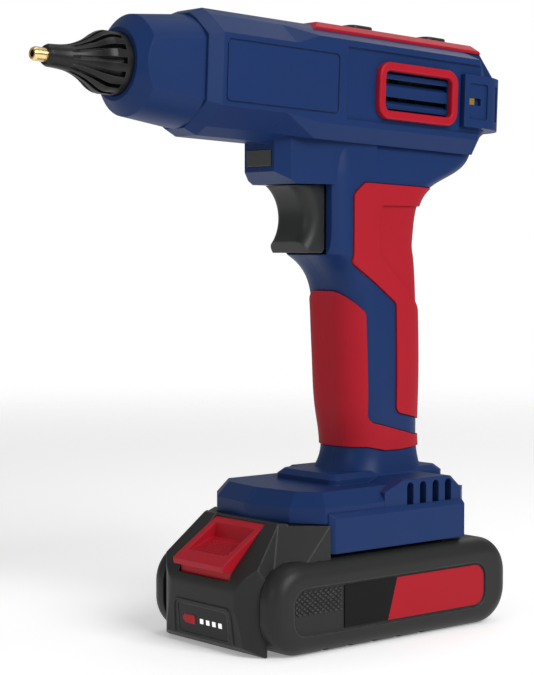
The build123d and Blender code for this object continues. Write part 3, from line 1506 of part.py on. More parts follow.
# Lower case of the battery
pack_middle = (pack_front + pack_rear) / 2
pack_screw_places = ((pack_screw_x, pack_screw_y), (pack_screw_x, -pack_screw_y))
with BuildPart() as pack_tray:
    with BuildSketch(Plane.XZ):
        with Locations((pack_middle, pack_top / 2)):
            RectangleRounded(pack_front - pack_rear, pack_top, pack_corner)
    extrude(amount=pack_half, both=True)
    fillet(pack_tray.faces().sort_by(Axis.Y)[0].edges(), pack_edge)
    fillet(pack_tray.faces().sort_by(Axis.Y)[-1].edges(), pack_edge)
    with BuildSketch(Plane.YZ.offset(pack_rear - rib_depth)):
        with Locations((0, (rib_low + rib_high) / 2)):
            RectangleRounded(2 * rib_half, rib_high - rib_low, rib_round)
    extrude(amount=rib_depth + pack_wall / 2)
    with BuildSketch(Plane.XZ):
        with Locations((pack_middle, pack_top / 2)):
            RectangleRounded(
                pack_front - pack_rear - 2 * pack_wall,
                pack_top - 2 * pack_wall,
                pack_corner - pack_wall,
            )
    extrude(amount=pack_half - pack_wall, both=True, mode=Mode.SUBTRACT)
    with BuildSketch(Plane.XY.offset(pack_wall / 2)):
        with Locations(*pack_screw_places):
            Circle(pack_boss)
    extrude(amount=pack_boss_split - seat_gap - pack_wall / 2)
    with BuildSketch(Plane.XZ):
        Polygon(
            (mouth_rear, pack_top + overlap),
            (mouth_rear, pack_top - pack_wall),
            (pack_front - pack_corner, pack_top - pack_wall),
            (pack_front - pack_corner, well_low),
            (apron_rear - seat_gap, well_low),
            (apron_rear - seat_gap, -overlap),
            (2 * front_face, -overlap),
            (2 * front_face, pack_top + overlap),
            align=None,
        )
    extrude(amount=apron_half + seat_gap, both=True, mode=Mode.SUBTRACT)
    with BuildSketch(Plane.XY):
        with Locations(*pack_screw_places):
            Circle(screw_shank + seat_gap)
    extrude(amount=pack_boss_split, mode=Mode.SUBTRACT)
    with BuildSketch(Plane.XY):
        with Locations(*pack_screw_places):
            Circle(screw_head + seat_gap)
    extrude(amount=2 * screw_head_high, mode=Mode.SUBTRACT)
    for side in (1, -1):
        with BuildSketch(Plane.XZ.offset(-side * pack_half)):
            with Locations((0, field_z)):
                RectangleRounded(field_length, field_height, field_round)
        extrude(amount=side * field_depth, mode=Mode.SUBTRACT)
    with BuildSketch(Plane.XY):
        for step in range(groove_count):
            with Locations((groove_first - step * groove_step, 0)):
                Rectangle(groove_width, 2 * pack_half)
    extrude(amount=groove_depth, mode=Mode.SUBTRACT)
pack_tray.part.label = "pack_tray"
export_step(pack_tray.part, "parts/pack_tray.step")

# Shoulders of the upper case, in front of the foot's side guards
with BuildPart() as shoulder_form:
    with BuildSketch(Plane.XZ):
        Polygon(
            (shoulder_x, pack_top - shoulder_lap),
            (shoulder_x, rail_top),
            (head_front, rail_top),
            (head_front, head_top),
            (slope_rear, head_top),
            (shoulder_end, slope_low + shoulder_rise),
            (shoulder_end, slope_low),
            (pack_front - pack_corner, pack_top - pack_wall),
            align=None,
        )
    extrude(amount=pack_half, both=True)
    with BuildSketch(Plane.XY):
        Polygon(
            (shoulder_x, shoulder_half),
            (pack_front - pack_corner, shoulder_half),
            (shoulder_end, apron_half),
            (shoulder_end, -apron_half),
            (pack_front - pack_corner, -shoulder_half),
            (shoulder_x, -shoulder_half),
            align=None,
        )
    extrude(amount=2 * head_top, mode=Mode.INTERSECT)
    for side in (1, -1):
        shoulder_corner = Vector(shoulder_x, side * shoulder_half, rail_top)
        shoulder_crest = Vector(slope_rear, side * shoulder_top_half, head_top)
        shoulder_toe = Vector(shoulder_end, side * apron_half, slope_low)
        bevel_normal = (shoulder_crest - shoulder_corner).cross(shoulder_toe - shoulder_corner) * side
        split(bisect_by=Plane(shoulder_corner, z_dir=bevel_normal), keep=Keep.BOTTOM)

# Upper case of the battery: front, shoulders, cover plate and rails
gauge_slope = Vector(front_face - gauge_low_x, 0, gauge_high_z - gauge_low_z).normalized()
gauge_plane = Plane(
    ((front_face + gauge_low_x) / 2, 0, (gauge_high_z + gauge_low_z) / 2),
    x_dir=(0, 1, 0),
    z_dir=(gauge_slope.Z, 0, -gauge_slope.X),
)
with BuildPart() as pack_head:
    with BuildSketch(Plane.XZ) as front_profile:
        Polygon(
            (apron_rear, 0),
            (front_foot, 0),
            (gauge_low_x, gauge_low_z),
            (front_face, gauge_high_z),
            (front_face, slope_low),
            (slope_rear, head_top),
            (head_front, head_top),
            (head_front, pack_top - head_lap),
            (apron_rear, head_back),
            align=None,
        )
        fillet(front_profile.vertices().sort_by_distance((front_face, slope_low))[0], slope_round)
    extrude(amount=apron_half, both=True)
    with BuildSketch(Plane.XY) as front_plan:
        Polygon(
            (front_face, apron_flat),
            (apron_side, apron_half),
            (head_front - overlap, apron_half),
            (head_front - overlap, -apron_half),
            (apron_side, -apron_half),
            (front_face, -apron_flat),
            align=None,
        )
        fillet(front_plan.vertices().sort_by(Axis.X)[-2:], apron_round)
        fillet(front_plan.vertices().filter_by_position(Axis.X, apron_side, apron_side), apron_corner)
    extrude(amount=head_top, mode=Mode.INTERSECT)
    with BuildSketch(Plane.YZ):
        Polygon(
            *mirrored([(apron_half, 0), (apron_half, slope_low), (shoulder_top_half, head_top)]),
            align=None,
        )
    extrude(amount=2 * front_face, mode=Mode.INTERSECT)
    add(shoulder_form.part)
    with BuildSketch(Plane.XY.offset(pack_top - pack_wall + seat_gap)):
        with Locations(((mouth_rear + seat_gap + pack_front - pack_corner) / 2, 0)):
            Rectangle(pack_front - pack_corner - mouth_rear - seat_gap, 2 * apron_half)
    extrude(amount=pack_wall - seat_gap)
    with BuildSketch(Plane.XY.offset(pack_top)):
        with Locations(((rail_rear + head_front + overlap) / 2, 0)):
            Rectangle(head_front + overlap - rail_rear, 2 * rail_neck_half)
    extrude(amount=rail_low - pack_top)
    with BuildSketch(Plane.XY.offset(rail_low)):
        with Locations(((rail_rear + shoulder_x + overlap) / 2, 0)):
            Rectangle(shoulder_x + overlap - rail_rear, 2 * rail_half)
    extrude(amount=rail_top - rail_low)
    with BuildSketch(Plane.XZ):
        Polygon(
            (mouth_rear + seat_gap, pack_top - overlap),
            (mouth_rear + hook_root, pack_top - overlap),
            (mouth_rear + hook_root, pack_top - pack_wall - hook_thick),
            (mouth_rear - hook_reach, pack_top - pack_wall - hook_thick),
            (mouth_rear - hook_reach, pack_top - pack_wall - 2 * seat_gap),
            (mouth_rear + seat_gap, pack_top - pack_wall - 2 * seat_gap),
            align=None,
        )
    extrude(amount=hook_half, both=True)
    with BuildSketch(Plane.XY.offset(pack_boss_split)):
        with Locations(*pack_screw_places):
            Circle(pack_boss)
    extrude(amount=pack_boss_top - pack_boss_split)
    with BuildSketch(Plane.XY.offset(pack_holder_top)):
        with Locations(((rail_rear + pack_wall + head_room_front) / 2, 0)):
            Rectangle(head_room_front - rail_rear - pack_wall, 2 * head_room_half)
    extrude(amount=rail_top - pack_wall - pack_holder_top, mode=Mode.SUBTRACT)
    with BuildSketch(Plane.XY.offset(blade_low - blade_play)):
        for place in blade_places:
            with Locations((rail_rear, place)):
                Rectangle(3 * pack_wall, blade_thick + 2 * blade_play)
    extrude(amount=blade_high - blade_low + 2 * blade_play, mode=Mode.SUBTRACT)
    with BuildSketch(Plane.XZ):
        Polygon(
            (slope_rear - slide_gap, release_heel - well_drop),
            (leg_rear - slide_gap, leg_top - well_drop),
            (leg_rear - slide_gap, well_low),
            (leg_front + slide_gap, well_low),
            (leg_front + slide_gap, lip_low - well_drop),
            (2 * front_face, lip_low - well_drop),
            (2 * front_face, 2 * head_top),
            (slope_rear - slide_gap, 2 * head_top),
            align=None,
        )
    extrude(amount=release_half + slide_gap, both=True, mode=Mode.SUBTRACT)
    with BuildSketch(Plane.XY.offset(release_spring_low)):
        with Locations((release_spring_x, 0)):
            Circle(release_spring_radius + slide_gap)
    extrude(amount=well_low + overlap - release_spring_low, mode=Mode.SUBTRACT)
    with BuildSketch(gauge_plane):
        RectangleRounded(gauge_width, gauge_height, gauge_round)
    extrude(amount=-gauge_depth, mode=Mode.SUBTRACT)
    with BuildSketch(Plane.XY.offset(pack_boss_split)):
        with Locations(*pack_screw_places):
            Circle(screw_shank + pin_gap)
    extrude(amount=2 * screw_reach, mode=Mode.SUBTRACT)
    add(pack_tray.part, mode=Mode.SUBTRACT)
pack_head.part.label = "pack_head"
export_step(pack_head.part, "parts/pack_head.step")

# Release button with its thumb pocket
with BuildPart() as release_button:
    with BuildSketch(Plane.XZ):
        Polygon(
            (slope_rear, release_crest),
            (slope_rear, release_heel),
            (leg_rear, leg_top),
            (leg_rear, leg_low),
            (leg_front, leg_low),
            (leg_front, lip_low),
            (lip_front, lip_low),
            lip_nose,
            lip_top,
            align=None,
        )
    extrude(amount=release_half, both=True)
    with BuildSketch(Plane.XZ):
        Polygon(
            (pocket_front, pocket_low),
            (pocket_rear, pocket_high),
            (pocket_brow, head_top),
            (pocket_front, head_top),
            align=None,
        )
    extrude(amount=release_half - release_wall, both=True, mode=Mode.SUBTRACT)
release_button.part.label = "release_button"
export_step(release_button.part, "parts/release_button.step")
with BuildPart() as release_spring:
    with BuildSketch(Plane.XY.offset(release_spring_low)):
        with Locations((release_spring_x, 0)):
            Circle(release_spring_radius)
            Circle(release_spring_radius / 2, mode=Mode.SUBTRACT)
    extrude(amount=leg_low - release_spring_low)
release_spring.part.label = "release_spring"
export_step(release_spring.part, "parts/release_spring.step")

# Charge gauge
with BuildPart() as gauge_window:
    with BuildSketch(gauge_plane.offset(-gauge_depth)):
        RectangleRounded(gauge_width - 2 * seat_gap, gauge_height - 2 * seat_gap, gauge_round - seat_gap)
    extrude(amount=gauge_depth - gauge_inlay)
gauge_window.part.label = "gauge_window"
export_step(gauge_window.part, "parts/gauge_window.step")
with BuildPart() as gauge_lights:
    with BuildSketch(gauge_plane.offset(-gauge_inlay)):
        for step in range(gauge_light_count):
            with Locations((gauge_light_first + step * gauge_light_step, 0)):
                Rectangle(gauge_light_size, gauge_light_size)
    extrude(amount=gauge_inlay)
gauge_lights.part.label = "gauge_lights"
export_step(gauge_lights.part, "parts/gauge_lights.step")
with BuildPart() as gauge_symbol:
    with BuildSketch(gauge_plane.offset(-gauge_inlay)):
        with Locations((symbol_place, 0)):
            RectangleRounded(symbol_length, symbol_height, symbol_round)
        with Locations((symbol_tip_place, 0)):
            Rectangle(symbol_tip_length, symbol_tip_height)
    extrude(amount=gauge_inlay)
gauge_symbol.part.label = "gauge_symbol"
export_step(gauge_symbol.part, "parts/gauge_symbol.step")

# Label fields on the pack's sides
label_parts = {}
for side, label_name in ((1, "side_label_left"), (-1, "side_label_right")):
    with BuildPart() as side_label:
        with BuildSketch(Plane.XZ.offset(-side * (pack_half - field_depth))):
            with Locations((0, field_z)):
                RectangleRounded(
                    field_length - 2 * label_margin,
                    field_height - 2 * label_margin,
                    field_round - label_margin,
                )
            with Locations((label_front + field_length / 2, field_z)):
                Rectangle(field_length, 2 * field_height, mode=Mode.SUBTRACT)
        extrude(amount=-side * label_thick)
    label_parts[label_name] = side_label.part
side_label_left = label_parts["side_label_left"]
side_label_left.label = "side_label_left"
export_step(side_label_left, "parts/side_label_left.step")
side_label_right = label_parts["side_label_right"]
side_label_right.label = "side_label_right"
export_step(side_label_right, "parts/side_label_right.step")

# Cells, their holders, the pack's board, contacts and screws
first_cell_x = cell_x - (cell_count - 1) / 2 * cell_pitch
cell_places = [(first_cell_x + step * cell_pitch, cell_z) for step in range(cell_count)]
with BuildPart() as cells:
    with BuildSketch(Plane.XZ):
        with Locations(*cell_places):
            Circle(cell_radius)
    extrude(amount=cell_half, both=True)
cells.part.label = "cells"
export_step(cells.part, "parts/cells.step")
with BuildPart() as cell_holders:
    for side in (1, -1):
        with BuildSketch(Plane.XZ.offset(-side * holder_half)):
            with Locations((pack_middle, (pack_wall + seat_gap + pack_holder_top) / 2)):
                RectangleRounded(
                    pack_holder_length,
                    pack_holder_top - pack_wall - seat_gap,
                    pack_holder_round,
                )
            with Locations(*cell_places):
                Circle(cell_radius + pin_gap, mode=Mode.SUBTRACT)
        extrude(amount=side * pack_holder_thick)
cell_holders.part.label = "cell_holders"
export_step(cell_holders.part, "parts/cell_holders.step")
with BuildPart() as pack_board:
    with BuildSketch(Plane.XY.offset(pack_holder_top)):
        with Locations((pack_board_x, 0)):
            Rectangle(pack_board_length, 2 * holder_half - overlap)
    extrude(amount=board_thick)
pack_board.part.label = "pack_board"
export_step(pack_board.part, "parts/pack_board.step")
with BuildPart() as pack_contacts:
    with BuildSketch(Plane.XY.offset(pack_holder_top + board_thick)):
        for place in blade_places:
            for side in (1, -1):
                across = place + side * (blade_thick / 2 + slide_gap + leaf_thick / 2)
                with Locations((leaf_place, across)):
                    Rectangle(leaf_length, leaf_thick)
    extrude(amount=blade_high - pack_holder_top - board_thick)
pack_contacts.part.label = "pack_contacts"
export_step(pack_contacts.part, "parts/pack_contacts.step")
with BuildPart() as pack_screws:
    with BuildSketch(Plane.XY.offset(screw_head_high)):
        with Locations(*pack_screw_places):
            Circle(screw_head)
    extrude(amount=screw_head_high)
    with BuildSketch(Plane.XY.offset(2 * screw_head_high)):
        with Locations(*pack_screw_places):
            Circle(screw_shank)
    extrude(amount=2 * screw_reach)
pack_screws.part.label = "pack_screws"
export_step(pack_screws.part, "parts/pack_screws.step")
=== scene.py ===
import logging
import math
from dataclasses import dataclass
from enum import Enum
from typing import Callable, Iterable, Sequence

import bmesh
import bpy
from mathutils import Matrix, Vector


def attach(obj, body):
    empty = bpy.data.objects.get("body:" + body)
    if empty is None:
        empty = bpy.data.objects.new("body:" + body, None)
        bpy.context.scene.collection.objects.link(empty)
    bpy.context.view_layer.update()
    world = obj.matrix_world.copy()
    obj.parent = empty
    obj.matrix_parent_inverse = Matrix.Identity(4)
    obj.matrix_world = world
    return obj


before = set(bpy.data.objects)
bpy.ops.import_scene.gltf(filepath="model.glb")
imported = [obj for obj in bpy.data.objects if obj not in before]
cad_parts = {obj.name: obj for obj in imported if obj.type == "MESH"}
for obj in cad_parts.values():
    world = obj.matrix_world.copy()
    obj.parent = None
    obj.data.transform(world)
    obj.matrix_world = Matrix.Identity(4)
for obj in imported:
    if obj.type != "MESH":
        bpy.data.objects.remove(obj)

LOG = logging.getLogger("glue_gun")
MM = 0.001
Point = tuple[float, float, float]
Colour = tuple[float, float, float]
Pair = tuple[float, float]

GRAIN_DETAIL = 3.0
DRIFT_DETAIL = 5.0
SMEAR_DETAIL = 6.0
SMEAR_DISTORTION = 0.6
# The mean of a noise texture, which is taken off so that a drift goes both ways.
NOISE_MEAN = 0.5
EDGE_SAMPLES = 6
# The cosine between the rounded and the flat normal where an edge takes the full painted highlight.
HIGHLIGHT_COSINE = 0.8
# The length of one band of the wave texture at a scale of 1.
WAVE_LENGTH = 0.31


class Body(Enum):
    """The moving bodies that added pieces ride on."""

    BATTERY = "battery"
    RELEASE = "release_button"


class Side(Enum):
    """The tool's two sides, as a sign along the cross axis."""

    LEFT = 1
    RIGHT = -1


def linear(red: int, green: int, blue: int) -> Colour:
    """Turns a screen colour into the scene's linear light, by the sRGB curve.

    Args:
        red: red, 0 to 255.
        green: green, 0 to 255.
        blue: blue, 0 to 255.

    Returns:
        The linear colour.
    """
    def channel(value: int) -> float:
        """One channel of the colour."""
        share = value / 255.0
        return share / 12.92 if share <= 0.04045 else ((share + 0.055) / 1.055) ** 2.4

    return (channel(red), channel(green), channel(blue))


class NodeGroup:
    """A shader node group that is built once and placed in many materials."""

    def __init__(
        self,
        name: str,
        inputs: Sequence[tuple[str, str, object]],
        outputs: Sequence[tuple[str, str]],
    ) -> None:
        """Makes the empty group with its sockets.

        Args:
            name: the group's name.
            inputs: socket name, socket type and default value of each input.
            outputs: socket name and socket type of each output.
        """
        self.tree = bpy.data.node_groups.new(name, "ShaderNodeTree")
        for label, kind, default in inputs:
            socket = self.tree.interface.new_socket(label, in_out="INPUT", socket_type=kind)
            socket.default_value = default
        for label, kind in outputs:
            self.tree.interface.new_socket(label, in_out="OUTPUT", socket_type=kind)
        self.start = self.tree.nodes.new("NodeGroupInput").outputs
        self.end = self.tree.nodes.new("NodeGroupOutput").inputs

    def node(self, kind: str, **settings: object) -> bpy.types.Node:
        """Adds a node to the group.

        Args:
            kind: the node's type.
            settings: attributes to set on the node.

        Returns:
            The new node.
        """
        made = self.tree.nodes.new(kind)
        for key, value in settings.items():
            setattr(made, key, value)
        return made

    def join(self, source: bpy.types.NodeSocket, target: bpy.types.NodeSocket) -> None:
        """Links two sockets of the group."""
        self.tree.links.new(source, target)

    def place(self, material: bpy.types.Material, **values: object) -> bpy.types.Node:
        """Puts the group into a material.

        Args:
            material: the material that takes the group.
            values: input values, with spaces in the socket names written as underscores.

        Returns:
            The group node.
        """
        made = material.node_tree.nodes.new("ShaderNodeGroup")
        made.node_tree = self.tree
        for key, value in values.items():
            made.inputs[key.replace("_", " ")].default_value = value
        return made


def make_grain_group() -> NodeGroup:
    """Builds the spark-eroded grain of moulded surfaces, as a height.

    Returns:
        The group.
    """
    group = NodeGroup(
        "moulded_grain",
        [("Scale", "NodeSocketFloat", 1500.0), ("Coarse", "NodeSocketFloat", 0.3)],
        [("Height", "NodeSocketFloat")],
    )
    place = group.node("ShaderNodeTexCoord")
    fine = group.node("ShaderNodeTexNoise")
    fine.inputs["Detail"].default_value = GRAIN_DETAIL
    cells = group.node("ShaderNodeTexVoronoi")
    group.join(place.outputs["Object"], fine.inputs["Vector"])
    group.join(place.outputs["Object"], cells.inputs["Vector"])
    group.join(group.start["Scale"], fine.inputs["Scale"])
    group.join(group.start["Scale"], cells.inputs["Scale"])
    mixed = group.node("ShaderNodeMix")
    group.join(group.start["Coarse"], mixed.inputs["Factor"])
    group.join(fine.outputs["Fac"], mixed.inputs["A"])
    group.join(cells.outputs["Distance"], mixed.inputs["B"])
    group.join(mixed.outputs["Result"], group.end["Height"])
    return group


def make_mottle_group() -> NodeGroup:
    """Builds a slow drift of a colour's lightness over a surface.

    Returns:
        The group.
    """
    group = NodeGroup(
        "colour_drift",
        [
            ("Colour", "NodeSocketColor", (0.5, 0.5, 0.5, 1.0)),
            ("Scale", "NodeSocketFloat", 40.0),
            ("Amount", "NodeSocketFloat", 0.1),
        ],
        [("Colour", "NodeSocketColor")],
    )
    place = group.node("ShaderNodeTexCoord")
    drift = group.node("ShaderNodeTexNoise")
    drift.inputs["Detail"].default_value = DRIFT_DETAIL
    group.join(place.outputs["Object"], drift.inputs["Vector"])
    group.join(group.start["Scale"], drift.inputs["Scale"])
    centred = group.node("ShaderNodeMath", operation="SUBTRACT")
    centred.inputs[1].default_value = NOISE_MEAN
    group.join(drift.outputs["Fac"], centred.inputs[0])
    scaled = group.node("ShaderNodeMath", operation="MULTIPLY_ADD")
    scaled.inputs[2].default_value = 1.0
    group.join(centred.outputs[0], scaled.inputs[0])
    group.join(group.start["Amount"], scaled.inputs[1])
    shifted = group.node("ShaderNodeHueSaturation")
    group.join(scaled.outputs[0], shifted.inputs["Value"])
    group.join(group.start["Colour"], shifted.inputs["Color"])
    group.join(shifted.outputs["Color"], group.end["Colour"])
    return group


def make_edge_group() -> NodeGroup:
    """Builds the softened edges of moulded pieces, with a mask of where a painted highlight lightens them.

    Returns:
        The group.
    """
    group = NodeGroup(
        "soft_edges",
        [("Radius", "NodeSocketFloat", 0.0006), ("Break Up", "NodeSocketFloat", 300.0)],
        [("Normal", "NodeSocketVector"), ("Mask", "NodeSocketFloat")],
    )
    rounded = group.node("ShaderNodeBevel", samples=EDGE_SAMPLES)
    group.join(group.start["Radius"], rounded.inputs["Radius"])
    group.join(rounded.outputs["Normal"], group.end["Normal"])
    flat = group.node("ShaderNodeNewGeometry")
    likeness = group.node("ShaderNodeVectorMath", operation="DOT_PRODUCT")
    group.join(rounded.outputs["Normal"], likeness.inputs[0])
    group.join(flat.outputs["Normal"], likeness.inputs[1])
    edge = group.node("ShaderNodeMapRange")
    edge.inputs["From Min"].default_value = 1.0
    edge.inputs["From Max"].default_value = HIGHLIGHT_COSINE
    group.join(likeness.outputs["Value"], edge.inputs["Value"])
    place = group.node("ShaderNodeTexCoord")
    patches = group.node("ShaderNodeTexNoise")
    group.join(place.outputs["Object"], patches.inputs["Vector"])
    group.join(group.start["Break Up"], patches.inputs["Scale"])
    # Painted highlight mask: the edge share, broken up by noise patches.
    edge_highlight = group.node("ShaderNodeMath", operation="MULTIPLY")
    group.join(edge.outputs["Result"], edge_highlight.inputs[0])
    group.join(patches.outputs["Fac"], edge_highlight.inputs[1])
    group.join(edge_highlight.outputs[0], group.end["Mask"])
    return group


def make_rub_group() -> NodeGroup:
    """Builds the uneven gloss of handled surfaces.

    Returns:
        The group.
    """
    group = NodeGroup(
        "handled_gloss",
        [
            ("Roughness", "NodeSocketFloat", 0.5),
            ("Amount", "NodeSocketFloat", 0.1),
            ("Scale", "NodeSocketFloat", 60.0),
        ],
        [("Roughness", "NodeSocketFloat")],
    )
    place = group.node("ShaderNodeTexCoord")
    smears = group.node("ShaderNodeTexNoise")
    smears.inputs["Detail"].default_value = SMEAR_DETAIL
    smears.inputs["Distortion"].default_value = SMEAR_DISTORTION
    group.join(place.outputs["Object"], smears.inputs["Vector"])
    group.join(group.start["Scale"], smears.inputs["Scale"])
    centred = group.node("ShaderNodeMath", operation="SUBTRACT")
    centred.inputs[1].default_value = NOISE_MEAN
    group.join(smears.outputs["Fac"], centred.inputs[0])
    spread = group.node("ShaderNodeMath", operation="MULTIPLY_ADD")
    group.join(centred.outputs[0], spread.inputs[0])
    group.join(group.start["Amount"], spread.inputs[1])
    group.join(group.start["Roughness"], spread.inputs[2])
    group.join(spread.outputs[0], group.end["Roughness"])
    return group


GRAIN = make_grain_group()
MOTTLE = make_mottle_group()
EDGE = make_edge_group()
RUB = make_rub_group()


@dataclass(frozen=True)
class Finish:
    """A finish that many pieces share: its colour, gloss, grain, softened edges and the painted highlight
    on them.
    """

    name: str
    colour: Colour
    roughness: float = 0.5
    gloss_drift: float = 0.12
    drift: float = 0.15
    drift_scale: float = 40.0
    grain_scale: float = 1500.0
    grain_depth: float = 0.03
    grain_coarse: float = 0.3
    edge_radius: float = 0.6
    # edge_light and edge_share set a painted highlight that lightens the colour along the edges.
    edge_light: float = 0.35
    edge_share: float = 0.25
    relief: float = 0.6
    metallic: float = 0.0
    specular: float = 0.14
    coat: float = 0.0
    glow: float = 0.0

    def colour_source(self, material: bpy.types.Material) -> bpy.types.NodeSocket:
        """Gives the socket that the surface colour comes from.

        Args:
            material: the material that is being built.

        Returns:
            A colour socket in that material.
        """
        drift = MOTTLE.place(
            material, Colour=(*self.colour, 1.0), Scale=self.drift_scale, Amount=self.drift
        )
        return drift.outputs["Colour"]

    def height_source(self, material: bpy.types.Material) -> bpy.types.NodeSocket:
        """Gives the socket that the surface relief comes from.

        Args:
            material: the material that is being built.

        Returns:
            A height socket in that material.
        """
        return GRAIN.place(material, Scale=self.grain_scale, Coarse=self.grain_coarse).outputs["Height"]

    def material(self) -> bpy.types.Material:
        """Builds the material, or gives the one that is there already.

        Returns:
            The material.
        """
        known = bpy.data.materials.get(self.name)
        if known:
            return known
        made = bpy.data.materials.new(self.name)
        made.use_nodes = True
        made.diffuse_color = (*self.colour, 1.0)
        tree = made.node_tree
        shader = tree.nodes["Principled BSDF"]
        shader.inputs["Metallic"].default_value = self.metallic
        shader.inputs["Specular IOR Level"].default_value = self.specular
        shader.inputs["Coat Weight"].default_value = self.coat
        edge = EDGE.place(made, Radius=self.edge_radius * MM)
        base = self.colour_source(made)
        # Painted highlight: the edge mask, scaled by edge_share, screens edge_light onto the colour.
        edge_highlight = tree.nodes.new("ShaderNodeMix")
        edge_highlight.data_type = "RGBA"
        edge_highlight.blend_type = "SCREEN"
        edge_highlight.inputs["B"].default_value = (self.edge_light, self.edge_light, self.edge_light, 1.0)
        faded = tree.nodes.new("ShaderNodeMath")
        faded.operation = "MULTIPLY"
        faded.inputs[1].default_value = self.edge_share
        tree.links.new(edge.outputs["Mask"], faded.inputs[0])
        tree.links.new(faded.outputs[0], edge_highlight.inputs["Factor"])
        tree.links.new(base, edge_highlight.inputs["A"])
        tree.links.new(edge_highlight.outputs["Result"], shader.inputs["Base Color"])
        rub = RUB.place(made, Roughness=self.roughness, Amount=self.gloss_drift)
        tree.links.new(rub.outputs["Roughness"], shader.inputs["Roughness"])
        relief = tree.nodes.new("ShaderNodeBump")
        relief.inputs["Strength"].default_value = self.relief
        relief.inputs["Distance"].default_value = self.grain_depth * MM
        tree.links.new(self.height_source(made), relief.inputs["Height"])
        tree.links.new(edge.outputs["Normal"], relief.inputs["Normal"])
        tree.links.new(relief.outputs["Normal"], shader.inputs["Normal"])
        if self.glow:
            shader.inputs["Emission Color"].default_value = (*self.colour, 1.0)
            shader.inputs["Emission Strength"].default_value = self.glow
        return made


@dataclass(frozen=True)
class TurnedFinish(Finish):
    """A turned metal, with fine rings left by the lathe tool round the barrel's axis."""

    pitch: float = 0.35
    waver: float = 0.4

    def height_source(self, material: bpy.types.Material) -> bpy.types.NodeSocket:
        """Gives the height of the tool rings.

        Args:
            material: the material that is being built.

        Returns:
            A height socket in that material.
        """
        tree = material.node_tree
        place = tree.nodes.new("ShaderNodeTexCoord")
        rings = tree.nodes.new("ShaderNodeTexWave")
        rings.bands_direction = "X"
        rings.inputs["Scale"].default_value = WAVE_LENGTH / (self.pitch * MM)
        rings.inputs["Distortion"].default_value = self.waver
        tree.links.new(place.outputs["Object"], rings.inputs["Vector"])
        return rings.outputs["Fac"]


@dataclass(frozen=True)
class TwoToneFinish(Finish):
    """A printed field in two plain colours that meet on a leaning line.

    The line crosses the height middle at the place border along the tool, and leans back by lean times
    the height above it.
    """

    second: Colour = (0.5, 0.5, 0.5)
    border: float = 0.5
    lean: float = 0.3
    middle: float = 16.0

    def colour_source(self, material: bpy.types.Material) -> bpy.types.NodeSocket:
        """Gives the colour in front of and behind the border.

        Args:
            material: the material that is being built.

        Returns:
            A colour socket in that material.
        """
        tree = material.node_tree
        front = super().colour_source(material)
        rear = MOTTLE.place(
            material, Colour=(*self.second, 1.0), Scale=self.drift_scale, Amount=self.drift
        ).outputs["Colour"]
        place = tree.nodes.new("ShaderNodeTexCoord")
        parts = tree.nodes.new("ShaderNodeSeparateXYZ")
        tree.links.new(place.outputs["Object"], parts.inputs[0])
        slant = tree.nodes.new("ShaderNodeMath")
        slant.operation = "MULTIPLY_ADD"
        slant.inputs[1].default_value = self.lean
        tree.links.new(parts.outputs["Z"], slant.inputs[0])
        tree.links.new(parts.outputs["X"], slant.inputs[2])
        behind = tree.nodes.new("ShaderNodeMath")
        behind.operation = "LESS_THAN"
        behind.inputs[1].default_value = (self.border + self.lean * self.middle) * MM
        tree.links.new(slant.outputs[0], behind.inputs[0])
        mixed = tree.nodes.new("ShaderNodeMix")
        mixed.data_type = "RGBA"
        tree.links.new(behind.outputs[0], mixed.inputs["Factor"])
        tree.links.new(front, mixed.inputs["A"])
        tree.links.new(rear, mixed.inputs["B"])
        return mixed.outputs["Result"]


BLUE = Finish("navy_plastic", linear(22, 46, 92), roughness=0.4, edge_radius=0.5, edge_light=0.05)
RED = Finish("moulded_red", linear(166, 22, 38), roughness=0.36, edge_radius=0.6, edge_light=0.1)
RED_RUBBER = Finish(
    "soft_red",
    linear(162, 22, 37),
    roughness=0.55,
    grain_scale=2200.0,
    grain_depth=0.04,
    edge_radius=0.15,
    edge_light=0.0,
)
BLACK = Finish(
    "moulded_black", linear(36, 37, 36), roughness=0.42, grain_depth=0.05, edge_radius=0.9, specular=0.22
)
TRIGGER_BLACK = Finish("trigger_plastic", linear(38, 39, 39), roughness=0.4, edge_radius=1.2, specular=0.25)
BOOT_RUBBER = Finish(
    "boot_rubber", linear(19, 19, 19), roughness=0.34, grain_depth=0.03, edge_radius=0.3, specular=0.3
)
BRASS = TurnedFinish("turned_brass", linear(240, 210, 150), roughness=0.2, metallic=1.0, edge_radius=0.2)
FLAT_BRASS = Finish("stamped_brass", linear(225, 180, 90), roughness=0.3, metallic=1.0, edge_radius=0.1)
ALUMINIUM = Finish("cast_aluminium", linear(190, 190, 194), roughness=0.42, metallic=1.0, grain_scale=700.0)
STEEL = Finish("bright_steel", linear(176, 177, 180), roughness=0.3, metallic=1.0, edge_radius=0.2)
DARK = Finish("hidden_plastic", linear(58, 58, 60), roughness=0.6)
SILICONE = Finish("brown_silicone", linear(150, 66, 36), roughness=0.6)
BOARD = Finish("circuit_board", linear(28, 92, 56), roughness=0.4, edge_radius=0.1)
SMOKED = Finish(
    "smoked_clear",
    linear(30, 32, 32),
    roughness=0.06,
    grain_depth=0.0,
    coat=1.0,
    edge_radius=0.4,
    specular=0.5,
)
GLOSS_BLACK = Finish(
    "gauge_face", linear(5, 5, 5), roughness=0.18, grain_depth=0.0, coat=0.2, edge_radius=0.2
)
LAMP = Finish(
    "gauge_lamp", linear(250, 250, 250), roughness=0.35, grain_depth=0.0, edge_radius=0.1, glow=0.4
)
DULL_LAMP = Finish("indicator_lamp", linear(110, 16, 22), roughness=0.2, grain_depth=0.0, edge_radius=0.2)
LABEL = TwoToneFinish(
    "side_label",
    linear(8, 8, 8),
    roughness=0.32,
    grain_depth=0.0,
    edge_radius=0.1,
    drift=0.06,
    second=linear(160, 16, 32),
)


